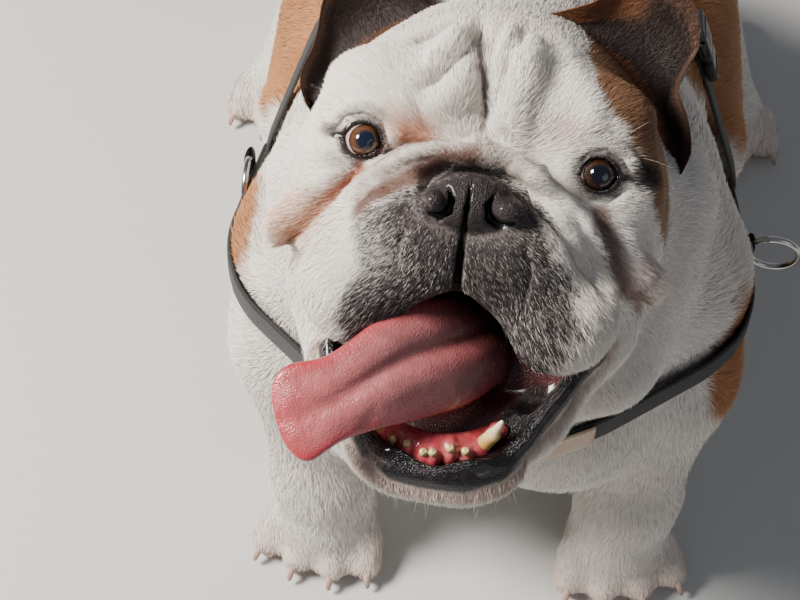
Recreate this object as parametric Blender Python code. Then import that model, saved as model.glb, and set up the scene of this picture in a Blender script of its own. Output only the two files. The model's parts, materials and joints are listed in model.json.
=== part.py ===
"""English bulldog sitting with its head raised, its mouth open and its tongue out to its right, in a
walking harness. The dog faces -Y, its left side is +X, and its feet and rump rest on the plane z = 0.

The flesh is laid up whole from smoothly blended lumps and limbs on a grid, given one surface, and then
parted by thin cuts into the pieces that a person would name. Surfaces are those of the coat.
"""

import math

import bmesh
import bpy
import numpy as np
from mathutils import Euler, Matrix, Vector
from mathutils.bvhtree import BVHTree

# Driving dimensions, in metres and degrees.
SHOULDER_HALF_WIDTH = 0.146
THIGH_HALF_WIDTH = 0.164
FRONT_FEET_HALF_SPACING = 0.104
HIND_FEET_HALF_SPACING = 0.170
CHEST_FRONT_Y = -0.200
RUMP_Y = 0.318
HEAD_HALF_WIDTH = 0.108
EYE_HALF_SPACING = 0.066
EYEBALL_RADIUS = 0.0112
EYE_DEPTH = 0.0085
EYES_MIDDLE = Vector((-0.010, -0.130, 0.455))
HEAD_RAISED = 61.0
HEAD_TURNED = -3.2
HEAD_LEANING = 1.5

# How the surface is made and parted.
CELL = 0.0051
FLESH_TRIANGLES = 2290
GAP = 0.0003
SLIVER = 0.00002
SOLE_DEPTH = 0.003
SPARING = 0.1
SPARED_WEIGHT = 0.05

# Harness of flat webbing with metal fittings.
WEBBING_THICKNESS = 0.0028
CHEST_STRAP_WIDTH = 0.024
GIRTH_STRAP_WIDTH = 0.024
STRAP_CLEARANCE = 0.0019
RAY_STEP = 2
RING_RADIUS = 0.0165
RING_WIRE = 0.0021

CENTRING = (0, -0.0254, 0)
SIDES = (("left", 1), ("right", -1))

HEAD_FRAME = (
    Matrix.Translation(EYES_MIDDLE)
    @ Matrix.Rotation(math.radians(HEAD_TURNED), 4, "Z")
    @ Matrix.Rotation(math.radians(-HEAD_RAISED), 4, "X")
    @ Matrix.Rotation(math.radians(HEAD_LEANING), 4, "Y")
)


# ---------------------------------------------------------------- lumps, limbs and the clay that holds them


def lump(centre, radii, frame=Matrix(), turn=(0, 0, 0)):
    """An ellipsoid in a frame: its distance function and the corners of its box."""
    place = frame @ Matrix.Translation(centre) @ Euler([math.radians(a) for a in turn]).to_matrix().to_4x4()
    axes = np.array(place.to_3x3())
    middle = np.array(place.translation)
    radii = np.array(radii, float)

    def distance(points):
        local = (points - middle) @ axes
        near = np.linalg.norm(local / radii, axis=-1)
        slope = np.linalg.norm(local / radii**2, axis=-1) + 1e-9
        return near * (near - 1) / slope

    reach = np.sqrt((axes**2 * radii**2).sum(axis=1))
    return distance, middle - reach, middle + reach


def limb(start, end, start_radius, end_radius, frame=Matrix()):
    """A round bar that tapers from one radius to another."""
    first = np.array(frame @ Vector(start))
    second = np.array(frame @ Vector(end))
    along = second - first
    square = along @ along

    def distance(points):
        share = np.clip((points - first) @ along / square, 0, 1)
        nearest = first + share[..., None] * along
        return np.linalg.norm(points - nearest, axis=-1) - (start_radius + share * (end_radius - start_radius))

    ends = np.array([first - start_radius, second - end_radius, first + start_radius, second + end_radius])
    return distance, ends.min(axis=0), ends.max(axis=0)


class Clay:
    """Signed distances on a grid: negative inside. Shapes are blended on or carved away."""

    def __init__(self, low, high, cell):
        self.low = np.array(low, float)
        self.cell = cell
        self.size = np.ceil((np.array(high) - self.low) / cell).astype(int) + 1
        self.values = np.full(self.size, 1.0)

    def window(self, low, high, margin):
        first = np.floor((low - margin - self.low) / self.cell).astype(int)
        last = np.ceil((high + margin - self.low) / self.cell).astype(int) + 1
        first = np.clip(first, 0, self.size)
        last = np.clip(last, 0, self.size)
        lines = [self.low[i] + self.cell * np.arange(first[i], last[i]) for i in range(3)]
        points = np.stack(np.meshgrid(*lines, indexing="ij"), axis=-1)
        return tuple(slice(a, b) for a, b in zip(first, last)), points

    def add(self, shape, blend):
        distance, low, high = shape
        part, points = self.window(low, high, blend + 4 * self.cell)
        self.values[part] = smooth_least(self.values[part], distance(points), blend)

    def carve(self, shape, blend):
        distance, low, high = shape
        part, points = self.window(low, high, blend + 4 * self.cell)
        self.values[part] = -smooth_least(-self.values[part], distance(points), blend)

    def flatten_below(self, height):
        levels = self.low[2] + self.cell * np.arange(self.size[2])
        self.values = np.maximum(self.values, (height - levels)[None, None, :])

    def soften(self):
        """Each value shared a little with its neighbours, so that no crease closes within one cell."""
        for axis in range(3):
            beside = np.roll(self.values, 1, axis) + np.roll(self.values, -1, axis)
            self.values = (6 * self.values + beside) / 8

    def surface(self, name):
        corners, quads = surface_net(self.values)
        mesh = bpy.data.meshes.new(name)
        mesh.from_pydata((self.low + self.cell * corners).tolist(), [], quads.tolist())
        return mesh


def smooth_least(first, second, blend):
    near = np.maximum(blend - np.abs(first - second), 0) / blend
    return np.minimum(first, second) - near**2 * blend / 4


def surface_net(values):
    """The zero surface of a grid: one corner in each mixed cell and one face on each crossed edge."""
    inside = values < 0
    shape = np.array(values.shape) - 1
    totals = np.zeros((*shape, 3))
    counts = np.zeros(shape)
    for axis in range(3):
        others = [i for i in range(3) if i != axis]
        for step_a in (0, 1):
            for step_b in (0, 1):
                start = np.zeros(3, int)
                start[others[0]] = step_a
                start[others[1]] = step_b
                stop = start.copy()
                stop[axis] = 1
                first = tuple(slice(s, s + n) for s, n in zip(start, shape))
                second = tuple(slice(s, s + n) for s, n in zip(stop, shape))
                crossed = inside[first] != inside[second]
                share = np.where(crossed, values[first] / (values[first] - values[second] + 1e-30), 0)
                for i in range(3):
                    totals[..., i] += crossed * (start[i] + (share if i == axis else 0))
                counts += crossed
    used = counts > 0
    number = np.full(used.shape, -1)
    number[used] = np.arange(used.sum())
    corners = np.argwhere(used) + totals[used] / counts[used][:, None]
    quads = []
    for axis in range(3):
        others = [(axis + 1) % 3, (axis + 2) % 3]
        steps = [slice(1, n) for n in shape]
        steps[axis] = slice(0, shape[axis])
        ahead = list(steps)
        ahead[axis] = slice(1, shape[axis] + 1)
        crossed = inside[tuple(steps)] != inside[tuple(ahead)]
        leaving = inside[tuple(steps)][crossed]
        spots = np.argwhere(crossed)
        spots[:, others] += 1
        ring = []
        for shift_a, shift_b in ((0, 0), (1, 0), (1, 1), (0, 1)):
            cells = spots.copy()
            cells[:, others[0]] -= shift_a
            cells[:, others[1]] -= shift_b
            ring.append(number[tuple(cells.T)])
        faces = np.stack(ring, axis=1)
        faces[~leaving] = faces[~leaving][:, ::-1]
        quads.append(faces)
    return corners, np.concatenate(quads)


# ---------------------------------------------------------------- the body, neck and legs


def model_trunk(clay):
    """Barrel chest, sloping back, tucked belly and broad rump."""
    wide = SHOULDER_HALF_WIDTH
    clay.add(limb((0, -0.045, 0.258), (0, 0.190, 0.160), 0.134, 0.116), 0.03)
    clay.add(lump((0, 0.060, 0.222), (wide - 0.006, 0.17, 0.130), turn=(-22, 0, 0)), 0.03)
    clay.add(lump((0, CHEST_FRONT_Y + 0.098, 0.205), (0.116, 0.098, 0.116)), 0.04)
    clay.add(lump((0, RUMP_Y - 0.105, 0.115), (0.122, 0.105, 0.118)), 0.04)
    for side in (1, -1):
        clay.add(lump((side * (wide - 0.056), -0.066, 0.258), (0.056, 0.086, 0.100), turn=(12, 0, 0)), 0.04)
        clay.add(lump((side * 0.056, -0.152, 0.180), (0.054, 0.046, 0.068)), 0.025)


def model_neck(clay):
    """Short thick neck with loose folds behind the skull and a dewlap under the jaw."""
    clay.add(limb((0, -0.045, 0.290), (-0.006, -0.088, 0.336), 0.128, 0.100), 0.04)
    clay.add(limb((0, 0.035, 0.300), (-0.004, -0.020, 0.352), 0.090, 0.078), 0.04)
    for side in (1, -1):
        scruff = (side * 0.100 - 0.005, -0.075, 0.335)
        clay.add(limb((side * 0.070, -0.160, 0.290), scruff, 0.040, 0.036), 0.03)
    clay.add(limb((-0.006, -0.185, 0.312), (0, -0.150, 0.235), 0.050, 0.055), 0.04)


def model_foreleg(clay, side):
    """Stout, straight foreleg under a well-muscled upper arm."""
    feet = side * FRONT_FEET_HALF_SPACING
    clay.add(limb((side * 0.116, -0.075, 0.245), (side * 0.122, -0.100, 0.175), 0.056, 0.048), 0.03)
    clay.add(limb((side * 0.119, -0.110, 0.180), (feet + side * 0.004, -0.150, 0.072), 0.049, 0.035), 0.025)
    clay.add(limb((feet + side * 0.004, -0.150, 0.072), (feet, -0.162, 0.040), 0.036, 0.035), 0.02)


def model_hind_leg(clay, side):
    """Folded hind leg of the sitting dog: thigh, knee, shank and the flat hock."""
    feet = side * HIND_FEET_HALF_SPACING
    knee = (side * (THIGH_HALF_WIDTH - 0.040), 0.092, 0.152)
    clay.add(limb((side * 0.085, 0.190, 0.145), knee, 0.090, 0.054), 0.03)
    thigh = (side * (THIGH_HALF_WIDTH - 0.056), 0.175, 0.130)
    clay.add(lump(thigh, (0.056, 0.092, 0.102), turn=(-18, 0, 0)), 0.03)
    clay.add(limb(knee, (side * 0.150, 0.240, 0.060), 0.046, 0.034), 0.02)
    clay.add(limb((side * 0.158, 0.285, 0.034), (feet, 0.212, 0.030), 0.031, 0.030), 0.02)


def toe_places(side, spacing, heel_y, reach, splay):
    """Middle points and directions of a paw's four toes, from the outer to the inner one."""
    places = []
    for place, angle, length in ((1.5, 20, 0.82), (0.5, 6, 1.0), (-0.5, -6, 1.0), (-1.5, -18, 0.80)):
        turned = math.radians(splay + angle) * side
        ahead = Vector((math.sin(turned), -math.cos(turned), 0))
        across = Vector((math.cos(math.radians(splay)) * side, math.sin(math.radians(splay)), 0))
        heel = Vector((side * spacing, heel_y, 0)) + across * (place * 0.0185)
        places.append((heel, ahead, reach * length))
    return places


FRONT_PAW = {"spacing": FRONT_FEET_HALF_SPACING, "heel_y": -0.165, "reach": 0.034, "splay": 10}
HIND_PAW = {"spacing": HIND_FEET_HALF_SPACING, "heel_y": 0.208, "reach": 0.034, "splay": 8}
TOE_RADIUS = 0.0155


def model_paw(clay, side, paw):
    """Broad round paw with four well-knuckled toes."""
    middle = (side * paw["spacing"], paw["heel_y"] - 0.004, 0.022)
    clay.add(lump(middle, (0.036, 0.030, 0.026)), 0.02)
    for heel, ahead, reach in toe_places(side, **paw):
        knuckle = heel + ahead * reach * 0.45 + Vector((0, 0, 0.0235))
        tip = heel + ahead * reach + Vector((0, 0, 0.0135))
        clay.add(limb(knuckle, tip, TOE_RADIUS, TOE_RADIUS * 0.92), 0.008)


# ---------------------------------------------------------------- the head, in the frame of the face


def head_lump(centre, radii, turn=(0, 0, 0)):
    return lump(centre, radii, HEAD_FRAME, turn)


def head_limb(start, end, start_radius, end_radius):
    return limb(start, end, start_radius, end_radius, HEAD_FRAME)


def model_skull(clay):
    """Broad flat-topped skull, cheeks, brows and the furrow of the forehead."""
    wide = HEAD_HALF_WIDTH
    clay.add(head_lump((0, 0.074, 0.010), (0.101, 0.076, 0.079)), 0.03)
    for side in (1, -1):
        clay.add(head_lump((side * (wide - 0.042), 0.058, -0.036), (0.042, 0.056, 0.058)), 0.03)
        clay.add(head_lump((side * 0.052, 0.026, 0.028), (0.042, 0.027, 0.027), (0, -side * 12, 0)), 0.02)
        clay.add(head_lump((side * EYE_HALF_SPACING, 0.028, -0.002), (0.034, 0.026, 0.026)), 0.02)
        clay.add(head_lump((side * 0.018, 0.020, 0.036), (0.016, 0.020, 0.032)), 0.012)
        clay.carve(head_lump((side * EYE_HALF_SPACING, -0.010, 0.000), (0.016, 0.012, 0.013)), 0.008)
    clay.carve(head_limb((0, -0.008, 0.018), (0, 0.016, 0.078), 0.004, 0.006), 0.012)


def model_muzzle(clay):
    """Very short turned-up muzzle with pendent upper lips, and the rope of skin over the nose."""
    clay.add(head_lump((0, 0.000, -0.045), (0.066, 0.044, 0.042)), 0.02)
    for side in (1, -1):
        flew = (side * 0.056, -0.002, -0.079)
        clay.add(head_limb((side * 0.026, -0.014, -0.052), flew, 0.030, 0.034), 0.014)
        clay.add(head_lump((side * 0.030, -0.022, -0.048), (0.030, 0.024, 0.026)), 0.014)
        rope = ((0.0, -0.028, 0.000), (0.030, -0.024, -0.008), (0.058, -0.008, -0.029), (0.086, 0.014, -0.058))
        for start, end in zip(rope, rope[1:]):
            first = (side * start[0], start[1], start[2])
            second = (side * end[0], end[1], end[2])
            clay.add(head_limb(first, second, 0.0088, 0.0092), 0.008)
        flap = ((0.070, 0.014, -0.034), (0.103, 0.028, -0.054))
        first, second = [(side * x, y, z) for x, y, z in flap]
        clay.add(head_limb(first, second, 0.010, 0.012), 0.010)
    clay.add(head_lump((0, -0.042, -0.026), (0.0275, 0.016, 0.0185)), 0.005)


def model_jaw(clay):
    """Broad lower jaw, hung open, with a thick lip round the front and the chin tucked under it."""
    for side in (1, -1):
        clay.add(head_limb((side * 0.066, 0.066, -0.085), (side * 0.054, 0.036, -0.136), 0.036, 0.027), 0.025)
        clay.add(head_limb((side * 0.054, 0.036, -0.136), (side * 0.020, 0.012, -0.168), 0.025, 0.021), 0.02)
    clay.add(head_lump((0, 0.010, -0.170), (0.050, 0.027, 0.023)), 0.015)
    clay.add(head_lump((0, 0.060, -0.135), (0.062, 0.040, 0.040)), 0.03)


def carve_mouth(clay):
    """The open mouth between the lips, back to the throat and down to the floor of the jaw."""
    clay.carve(head_limb((0, -0.040, -0.102), (0, 0.006, -0.106), 0.027, 0.030), 0.008)
    clay.carve(head_limb((0, 0.006, -0.110), (0, 0.050, -0.104), 0.034, 0.026), 0.010)
    for side in (1, -1):
        clay.carve(head_limb((0, -0.040, -0.106), (side * 0.062, -0.028, -0.140), 0.030, 0.022), 0.006)
        clay.carve(head_limb((0, 0.004, -0.120), (side * 0.052, 0.012, -0.118), 0.030, 0.017), 0.006)
        clay.carve(head_limb((0, -0.004, -0.141), (side * 0.027, 0.000, -0.139), 0.022, 0.020), 0.006)


def model_tail(clay):
    """Short, thick, low-set tail with a kink."""
    clay.add(limb((0, RUMP_Y - 0.012, 0.120), (0.004, RUMP_Y + 0.012, 0.108), 0.024, 0.019), 0.012)
    clay.add(limb((0.004, RUMP_Y + 0.012, 0.108), (0.016, RUMP_Y + 0.014, 0.086), 0.018, 0.012), 0.008)


def model_flesh():
    clay = Clay((-0.26, -0.34, -0.012), (0.26, 0.375, 0.53), CELL)
    model_trunk(clay)
    model_neck(clay)
    for _, side in SIDES:
        model_foreleg(clay, side)
        model_hind_leg(clay, side)
        model_paw(clay, side, FRONT_PAW)
        model_paw(clay, side, HIND_PAW)
    model_skull(clay)
    model_muzzle(clay)
    model_jaw(clay)
    carve_mouth(clay)
    model_tail(clay)
    clay.flatten_below(-SOLE_DEPTH)
    clay.soften()
    return clay.surface("flesh")


# ---------------------------------------------------------------- meshes, cuts and finishes


def finish(name, color, roughness, metallic=0.0):
    material = bpy.data.materials.new(name)
    material.use_nodes = True
    surface = material.node_tree.nodes["Principled BSDF"]
    surface.inputs["Base Color"].default_value = (*color, 1)
    surface.inputs["Roughness"].default_value = roughness
    surface.inputs["Metallic"].default_value = metallic
    material.diffuse_color = (*color, 1)
    return material


def place(name, mesh, material):
    """Adds a finished piece, set so that the origin is under the middle of the dog."""
    mesh.transform(Matrix.Translation(CENTRING))
    thing = bpy.data.objects.new(name, mesh)
    bpy.context.scene.collection.objects.link(thing)
    mesh.materials.clear()
    mesh.materials.append(material)
    return thing


def cutter(name, mesh):
    thing = bpy.data.objects.new(name, mesh)
    bpy.context.scene.collection.objects.link(thing)
    thing.hide_render = True
    thing.display_type = "WIRE"
    return thing


def applied(thing):
    """The object's mesh with its modifiers done."""
    graph = bpy.context.evaluated_depsgraph_get()
    return bpy.data.meshes.new_from_object(thing.evaluated_get(graph))


def combined(mesh, tool_mesh, operation):
    """A mesh cut by, or kept within, another."""
    work = cutter("work", mesh)
    tool = cutter("tool", tool_mesh)
    step = work.modifiers.new("cut", "BOOLEAN")
    step.operation = operation
    step.solver = "EXACT"
    step.object = tool
    result = applied(work)
    bpy.data.objects.remove(work)
    bpy.data.objects.remove(tool)
    return without_slivers(result)


def without_slivers(mesh):
    """The mesh with corners that nearly touch made one."""
    shape = bmesh.new()
    shape.from_mesh(mesh)
    bmesh.ops.triangulate(shape, faces=shape.faces)
    bmesh.ops.remove_doubles(shape, verts=shape.verts, dist=SLIVER)
    bmesh.ops.dissolve_degenerate(shape, edges=shape.edges, dist=SLIVER)
    shape.to_mesh(mesh)
    shape.free()
    return mesh


def decimated(mesh, triangles, spared=None):
    """A mesh of fewer triangles. Spared, a test on a point, says where most of them stay."""
    work = cutter("work", mesh)
    step = work.modifiers.new("fewer", "DECIMATE")
    step.ratio = triangles / (2 * len(mesh.polygons))
    if spared:
        group = work.vertex_groups.new(name="worn")
        group.add([v.index for v in mesh.vertices if spared(v.co)], 1 - SPARED_WEIGHT, "REPLACE")
        group.add([v.index for v in mesh.vertices if not spared(v.co)], 1.0, "REPLACE")
        step.vertex_group = "worn"
        step.vertex_group_factor = SPARING
    result = applied(work)
    bpy.data.objects.remove(work)
    return result


def swollen(mesh, distance):
    """A copy of a mesh pushed out along its normals."""
    work = cutter("work", mesh)
    step = work.modifiers.new("swell", "DISPLACE")
    step.strength = distance
    step.mid_level = 0
    result = applied(work)
    bpy.data.objects.remove(work)
    return result


def block(centre, size, turn=(0, 0, 0), frame=Matrix(), grow=0.0):
    """A box mesh, turned about its own middle."""
    mesh = bpy.data.meshes.new("block")
    shape = bmesh.new()
    bmesh.ops.create_cube(shape, size=1)
    tilt = Euler([math.radians(a) for a in turn]).to_matrix().to_4x4()
    scale = Matrix.Diagonal(Vector([s + 2 * grow for s in size] + [1]))
    shape.transform(frame @ Matrix.Translation(centre) @ tilt @ scale)
    shape.to_mesh(mesh)
    shape.free()
    return mesh


def parted(mesh, region):
    """A region's share of a mesh, and the rest of it, with a thin gap between them."""
    taken = combined(mesh, block(**region), "INTERSECT")
    rest = combined(mesh, block(**region, grow=GAP), "DIFFERENCE")
    return taken, rest


# ---------------------------------------------------------------- eyes, ears, tongue, gum and claws


def ball_mesh(name, centre, radius, segments, rings):
    mesh = bpy.data.meshes.new(name)
    shape = bmesh.new()
    bmesh.ops.create_uvsphere(shape, u_segments=segments, v_segments=rings, radius=radius)
    shape.transform(Matrix.Translation(centre) @ Matrix.Rotation(math.radians(90), 4, "X"))
    shape.to_mesh(mesh)
    shape.free()
    return mesh


def loft(name, sections):
    """A closed mesh through rings of equal length, with both ends filled."""
    mesh = bpy.data.meshes.new(name)
    shape = bmesh.new()
    rings = [[shape.verts.new(point) for point in section] for section in sections]
    count = len(rings[0])
    for first, second in zip(rings, rings[1:]):
        for i in range(count):
            shape.faces.new((first[i], first[(i + 1) % count], second[(i + 1) % count], second[i]))
    shape.faces.new(rings[0][::-1])
    shape.faces.new(rings[-1])
    bmesh.ops.recalc_face_normals(shape, faces=shape.faces)
    shape.to_mesh(mesh)
    shape.free()
    return mesh


def curve_through(points, steps):
    """Even steps along a smooth curve through the points, each a tuple of any length."""
    points = np.array(points, float)
    padded = np.vstack([2 * points[0] - points[1], points, 2 * points[-1] - points[-2]])
    found = []
    for share in np.linspace(0, len(points) - 1, steps):
        i = min(int(share), len(points) - 2)
        t = share - i
        a, b, c, d = padded[i : i + 4]
        slow = 2 * b + (c - a) * t
        found.append(0.5 * (slow + (2 * a - 5 * b + 4 * c - d) * t**2 + (3 * b - a - 3 * c + d) * t**3))
    return np.array(found)


TONGUE_STATIONS = (
    # middle x, y, z; half width across x, y, z; half thickness
    (0.0220, 0.044, -0.0920, 0.0125, 0.000, -0.0205, 0.0070),
    (0.0130, 0.020, -0.0985, 0.0150, 0.002, -0.0240, 0.0085),
    (-0.0060, -0.002, -0.1090, 0.0145, 0.005, -0.0250, 0.0085),
    (-0.0300, -0.020, -0.1240, 0.0105, 0.002, -0.0255, 0.0075),
    (-0.0555, -0.031, -0.1435, 0.0085, 0.000, -0.0235, 0.0065),
    (-0.0740, -0.036, -0.1530, 0.0098, 0.000, -0.0245, 0.0050),
    (-0.0860, -0.037, -0.1575, 0.0090, 0.000, -0.0205, 0.0035),
)


def tongue_mesh():
    """Long flat tongue that lies over the gum, with a groove along its middle."""
    sections = []
    stations = curve_through(TONGUE_STATIONS, 12)
    middles = stations[:, :3]
    for i, station in enumerate(stations):
        ahead = middles[min(i + 1, len(stations) - 1)] - middles[max(i - 1, 0)]
        across = station[3:6]
        up = np.cross(ahead, across)
        up *= station[6] / np.linalg.norm(up)
        ring = []
        for angle in np.linspace(0, 2 * math.pi, 14, endpoint=False):
            wide = math.copysign(abs(math.cos(angle)) ** 0.8, math.cos(angle))
            high = math.copysign(abs(math.sin(angle)) ** 0.8, math.sin(angle))
            dip = 0.35 * math.exp(-((wide / 0.22) ** 2)) * (high > 0)
            ring.append(HEAD_FRAME @ Vector(station[:3] + across * wide + up * (high - dip)))
        sections.append(ring)
    return loft("tongue", sections)


GUM_SHIFT = -0.003
GUM_TRIANGLES = 420


def gum_mesh():
    """Bowed ridge of the lower gum with its worn front teeth and one canine on each side."""
    clay_low = HEAD_FRAME @ Vector((0, 0.01, -0.155))
    clay = Clay(clay_low - Vector((0.05, 0.05, 0.05)), clay_low + Vector((0.05, 0.05, 0.05)), 0.0016)
    bow = []
    for angle in np.linspace(-78, 78, 12):
        turned = math.radians(angle)
        rise = 0.012 * (1 - math.cos(turned))
        bow.append((GUM_SHIFT + 0.033 * math.sin(turned), 0.036 - 0.030 * math.cos(turned), rise - 0.1595))
    for start, end in zip(bow, bow[1:]):
        clay.add(head_limb(start, end, 0.0062, 0.0062), 0.003)
    for angle in (-40, -24, -8, 8, 24, 40):
        turned = math.radians(angle)
        root = Vector((GUM_SHIFT + 0.033 * math.sin(turned), 0.034 - 0.032 * math.cos(turned), -0.156))
        clay.add(head_limb(root, root + Vector((0, -0.0055, 0.004)), 0.0036, 0.0024), 0.0015)
    for side in (1, -1):
        root = Vector((GUM_SHIFT + side * 0.0295, 0.014, -0.153))
        tip = root + Vector((side * 0.004, -0.010, 0.014))
        clay.add(head_limb(root, tip, 0.0046, 0.0014), 0.002)
    return decimated(clay.surface("gum"), GUM_TRIANGLES)


EAR_ROOTS = {
    # where each ear grows from the skull, from its front corner back and down
    "left": ((0.024, 0.084, 0.084), (0.052, 0.088, 0.079), (0.078, 0.092, 0.065), (0.094, 0.095, 0.046),
             (0.101, 0.097, 0.028), (0.104, 0.099, 0.010)),
    "right": ((0.042, 0.086, 0.084), (0.060, 0.090, 0.076), (0.078, 0.092, 0.063), (0.094, 0.095, 0.046),
              (0.101, 0.097, 0.028), (0.104, 0.099, 0.012)),
}
EAR_RIMS = {
    "left": ((0.021, 0.080, 0.093), (0.046, 0.078, 0.103), (0.064, 0.082, 0.115), (0.084, 0.082, 0.121),
             (0.104, 0.082, 0.112), (0.114, 0.083, 0.091), (0.109, 0.086, 0.076), (0.106, 0.088, 0.062),
             (0.114, 0.088, 0.046), (0.119, 0.092, 0.028), (0.116, 0.098, 0.014)),
    "right": ((0.044, 0.082, 0.095), (0.058, 0.080, 0.105), (0.074, 0.080, 0.111), (0.090, 0.082, 0.109),
              (0.103, 0.083, 0.098), (0.110, 0.084, 0.084), (0.111, 0.086, 0.067), (0.113, 0.088, 0.052),
              (0.119, 0.090, 0.037), (0.120, 0.094, 0.025), (0.114, 0.098, 0.015)),
}
EAR_CUP = 0.009
EAR_ROOTED = -0.35
EAR_THICKNESS = 0.0062
EAR_ROWS = 11
EAR_COLUMNS = 6


def ear_mesh(name, side):
    """Small rose ear: a cupped flap along the corner of the skull, from its root to its wavy rim."""
    root = curve_through(EAR_ROOTS[name], EAR_ROWS)[:, None, :]
    rim = curve_through(EAR_RIMS[name], EAR_ROWS)[:, None, :]
    share = np.linspace(EAR_ROOTED, 1, EAR_COLUMNS)[None, :, None]
    hollow = 4 * np.maximum(share, 0) * (1 - share)
    sheet = root + (rim - root) * share + np.array((0, EAR_CUP, 0)) * hollow
    normal = np.cross(np.gradient(sheet, axis=0), np.gradient(sheet, axis=1))
    normal /= np.linalg.norm(normal, axis=2)[..., None]
    half = EAR_THICKNESS / 2 * np.linspace(1.2, 0.7, EAR_COLUMNS)[None, :, None]
    sections = []
    for front, back in zip(sheet + normal * half, sheet - normal * half):
        ring = np.vstack([front, back[::-1]])
        sections.append([HEAD_FRAME @ Vector((side * x, y, z)) for x, y, z in ring])
    return loft("ear", sections)


def claw_mesh(heel, ahead, reach, grow=0.0):
    """Blunt claw at the end of a toe, just off the ground."""
    start = heel + ahead * (reach + TOE_RADIUS * 0.45) + Vector((0, 0, 0.0125))
    middle = start + ahead * 0.0065 + Vector((0, 0, -0.0010))
    end = start + ahead * 0.0105 + Vector((0, 0, -0.0060))
    across = ahead.cross(Vector((0, 0, 1)))
    sections = []
    for centre, radius in ((start, 0.0034), (middle, 0.0029), (end, 0.0013)):
        ring = []
        for angle in np.linspace(0, 2 * math.pi, 6, endpoint=False):
            outward = across * math.cos(angle) + Vector((0, 0, 1)) * math.sin(angle)
            ring.append(centre + outward * (radius + grow))
        sections.append(ring)
    sections[0] = [point - ahead * grow for point in sections[0]]
    sections[-1] = [point + ahead * grow for point in sections[-1]]
    return loft("claw", sections)


def joined(meshes):
    """Separate closed meshes held in one, to cut with them all at once."""
    shape = bmesh.new()
    for mesh in meshes:
        shape.from_mesh(mesh)
    mesh = bpy.data.meshes.new("tools")
    shape.to_mesh(mesh)
    shape.free()
    return mesh


# ---------------------------------------------------------------- harness


def taut_line(tree, centre, across, up):
    """Radii at every few degrees of a taut loop round a body: the convex hull of its outline in a plane."""
    angles = np.radians(np.arange(0, 360, RAY_STEP))
    radii = np.zeros(len(angles))
    for i, angle in enumerate(angles):
        outward = across * math.cos(angle) + up * math.sin(angle)
        hit = tree.ray_cast(centre + outward * 0.6, -outward)[0]
        radii[i] = (hit - centre).length
    flat = np.stack([radii * np.cos(angles), radii * np.sin(angles)], axis=1)
    taut = radii.copy()
    reach = 80 // RAY_STEP
    for i, angle in enumerate(angles):
        ray = np.array([math.cos(angle), math.sin(angle)])
        for before in range(1, reach):
            a = flat[i - before]
            b = flat[(i + np.arange(1, reach)) % len(angles)]
            crossing = a[0] * b[:, 1] - a[1] * b[:, 0]
            slant = ray[0] * (b[:, 1] - a[1]) - ray[1] * (b[:, 0] - a[0])
            taut[i] = max(taut[i], (crossing / slant).max())
    return angles, taut


def strap_mesh(name, tree, centre, across, up, width, span, steps):
    """Flat webbing round a body, a full loop or the stretch between two angles, and its sections."""
    whole = span[1] - span[0] >= 359
    centre = Vector(centre)
    side = across.cross(up).normalized()
    shifts = (-0.5, -0.25, 0, 0.25, 0.5)
    lines = [taut_line(tree, centre + side * width * shift, across, up) for shift in shifts]
    taut = np.max([radii for _, radii in lines], axis=0) + STRAP_CLEARANCE
    sections = []
    for angle in np.radians(np.linspace(span[0], span[1], steps, endpoint=not whole)):
        near = angle + np.radians([-RAY_STEP, 0, RAY_STEP])
        radius = np.interp(near, lines[0][0], taut, period=2 * math.pi).max()
        outward = across * math.cos(angle) + up * math.sin(angle)
        ring = []
        for shift, height in ((-0.5, 0), (0.5, 0), (0.5, WEBBING_THICKNESS), (-0.5, WEBBING_THICKNESS)):
            ring.append(centre + outward * (radius + height) + side * width * shift)
        sections.append(ring)
    return (loop_mesh if whole else loft)(name, sections), sections


def loop_mesh(name, sections):
    """A closed mesh through rings that come back to the first one."""
    mesh = bpy.data.meshes.new(name)
    shape = bmesh.new()
    rings = [[shape.verts.new(point) for point in section] for section in sections]
    count = len(rings[0])
    for first, second in zip(rings, rings[1:] + rings[:1]):
        for i in range(count):
            shape.faces.new((first[i], first[(i + 1) % count], second[(i + 1) % count], second[i]))
    bmesh.ops.recalc_face_normals(shape, faces=shape.faces)
    shape.to_mesh(mesh)
    shape.free()
    return mesh


def ring_mesh(name, centre, normal, radius, wire, around=18, sides=6):
    normal = Vector(normal).normalized()
    across = normal.orthogonal().normalized()
    up = normal.cross(across)
    sections = []
    for angle in np.linspace(0, 2 * math.pi, around, endpoint=False):
        outward = across * math.cos(angle) + up * math.sin(angle)
        ring = []
        for turn in np.linspace(0, 2 * math.pi, sides, endpoint=False):
            rise = normal * wire * math.sin(turn)
            ring.append(Vector(centre) + outward * (radius + wire * math.cos(turn)) + rise)
        sections.append(ring)
    return loop_mesh(name, sections)


def tilted(lean, roll=0.0):
    """Directions across the dog and up the slope of a plane that leans back and rolls up to the left."""
    lean = math.radians(lean)
    roll = math.radians(roll)
    return Vector((math.cos(roll), 0, math.sin(roll))), Vector((0, math.cos(lean), math.sin(lean)))


CHEST_STRAP_MIDDLE = (0, -0.030, 0.238)
CHEST_STRAP_LEAN = -1
CHEST_STRAP_ROLL = -2
CHEST_STRAP_SPAN = (-190, 10)
GIRTH_MIDDLE = (0, 0.070, 0.222)
GIRTH_LEAN = 70
BUCKLE_SIZE = (0.011, 0.046, 0.031)
BUCKLE_SECTIONS = (25, 30)
TAB_SECTIONS = (17, 24)
TAB_THICKNESS = 0.0022


def outer_frame(section):
    """Middle of a strap section's outer face, and the directions out from the dog and across the strap."""
    middle = (section[2] + section[3]) / 2
    return middle, (section[2] - section[1]).normalized(), (section[2] - section[3]).normalized()


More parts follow.
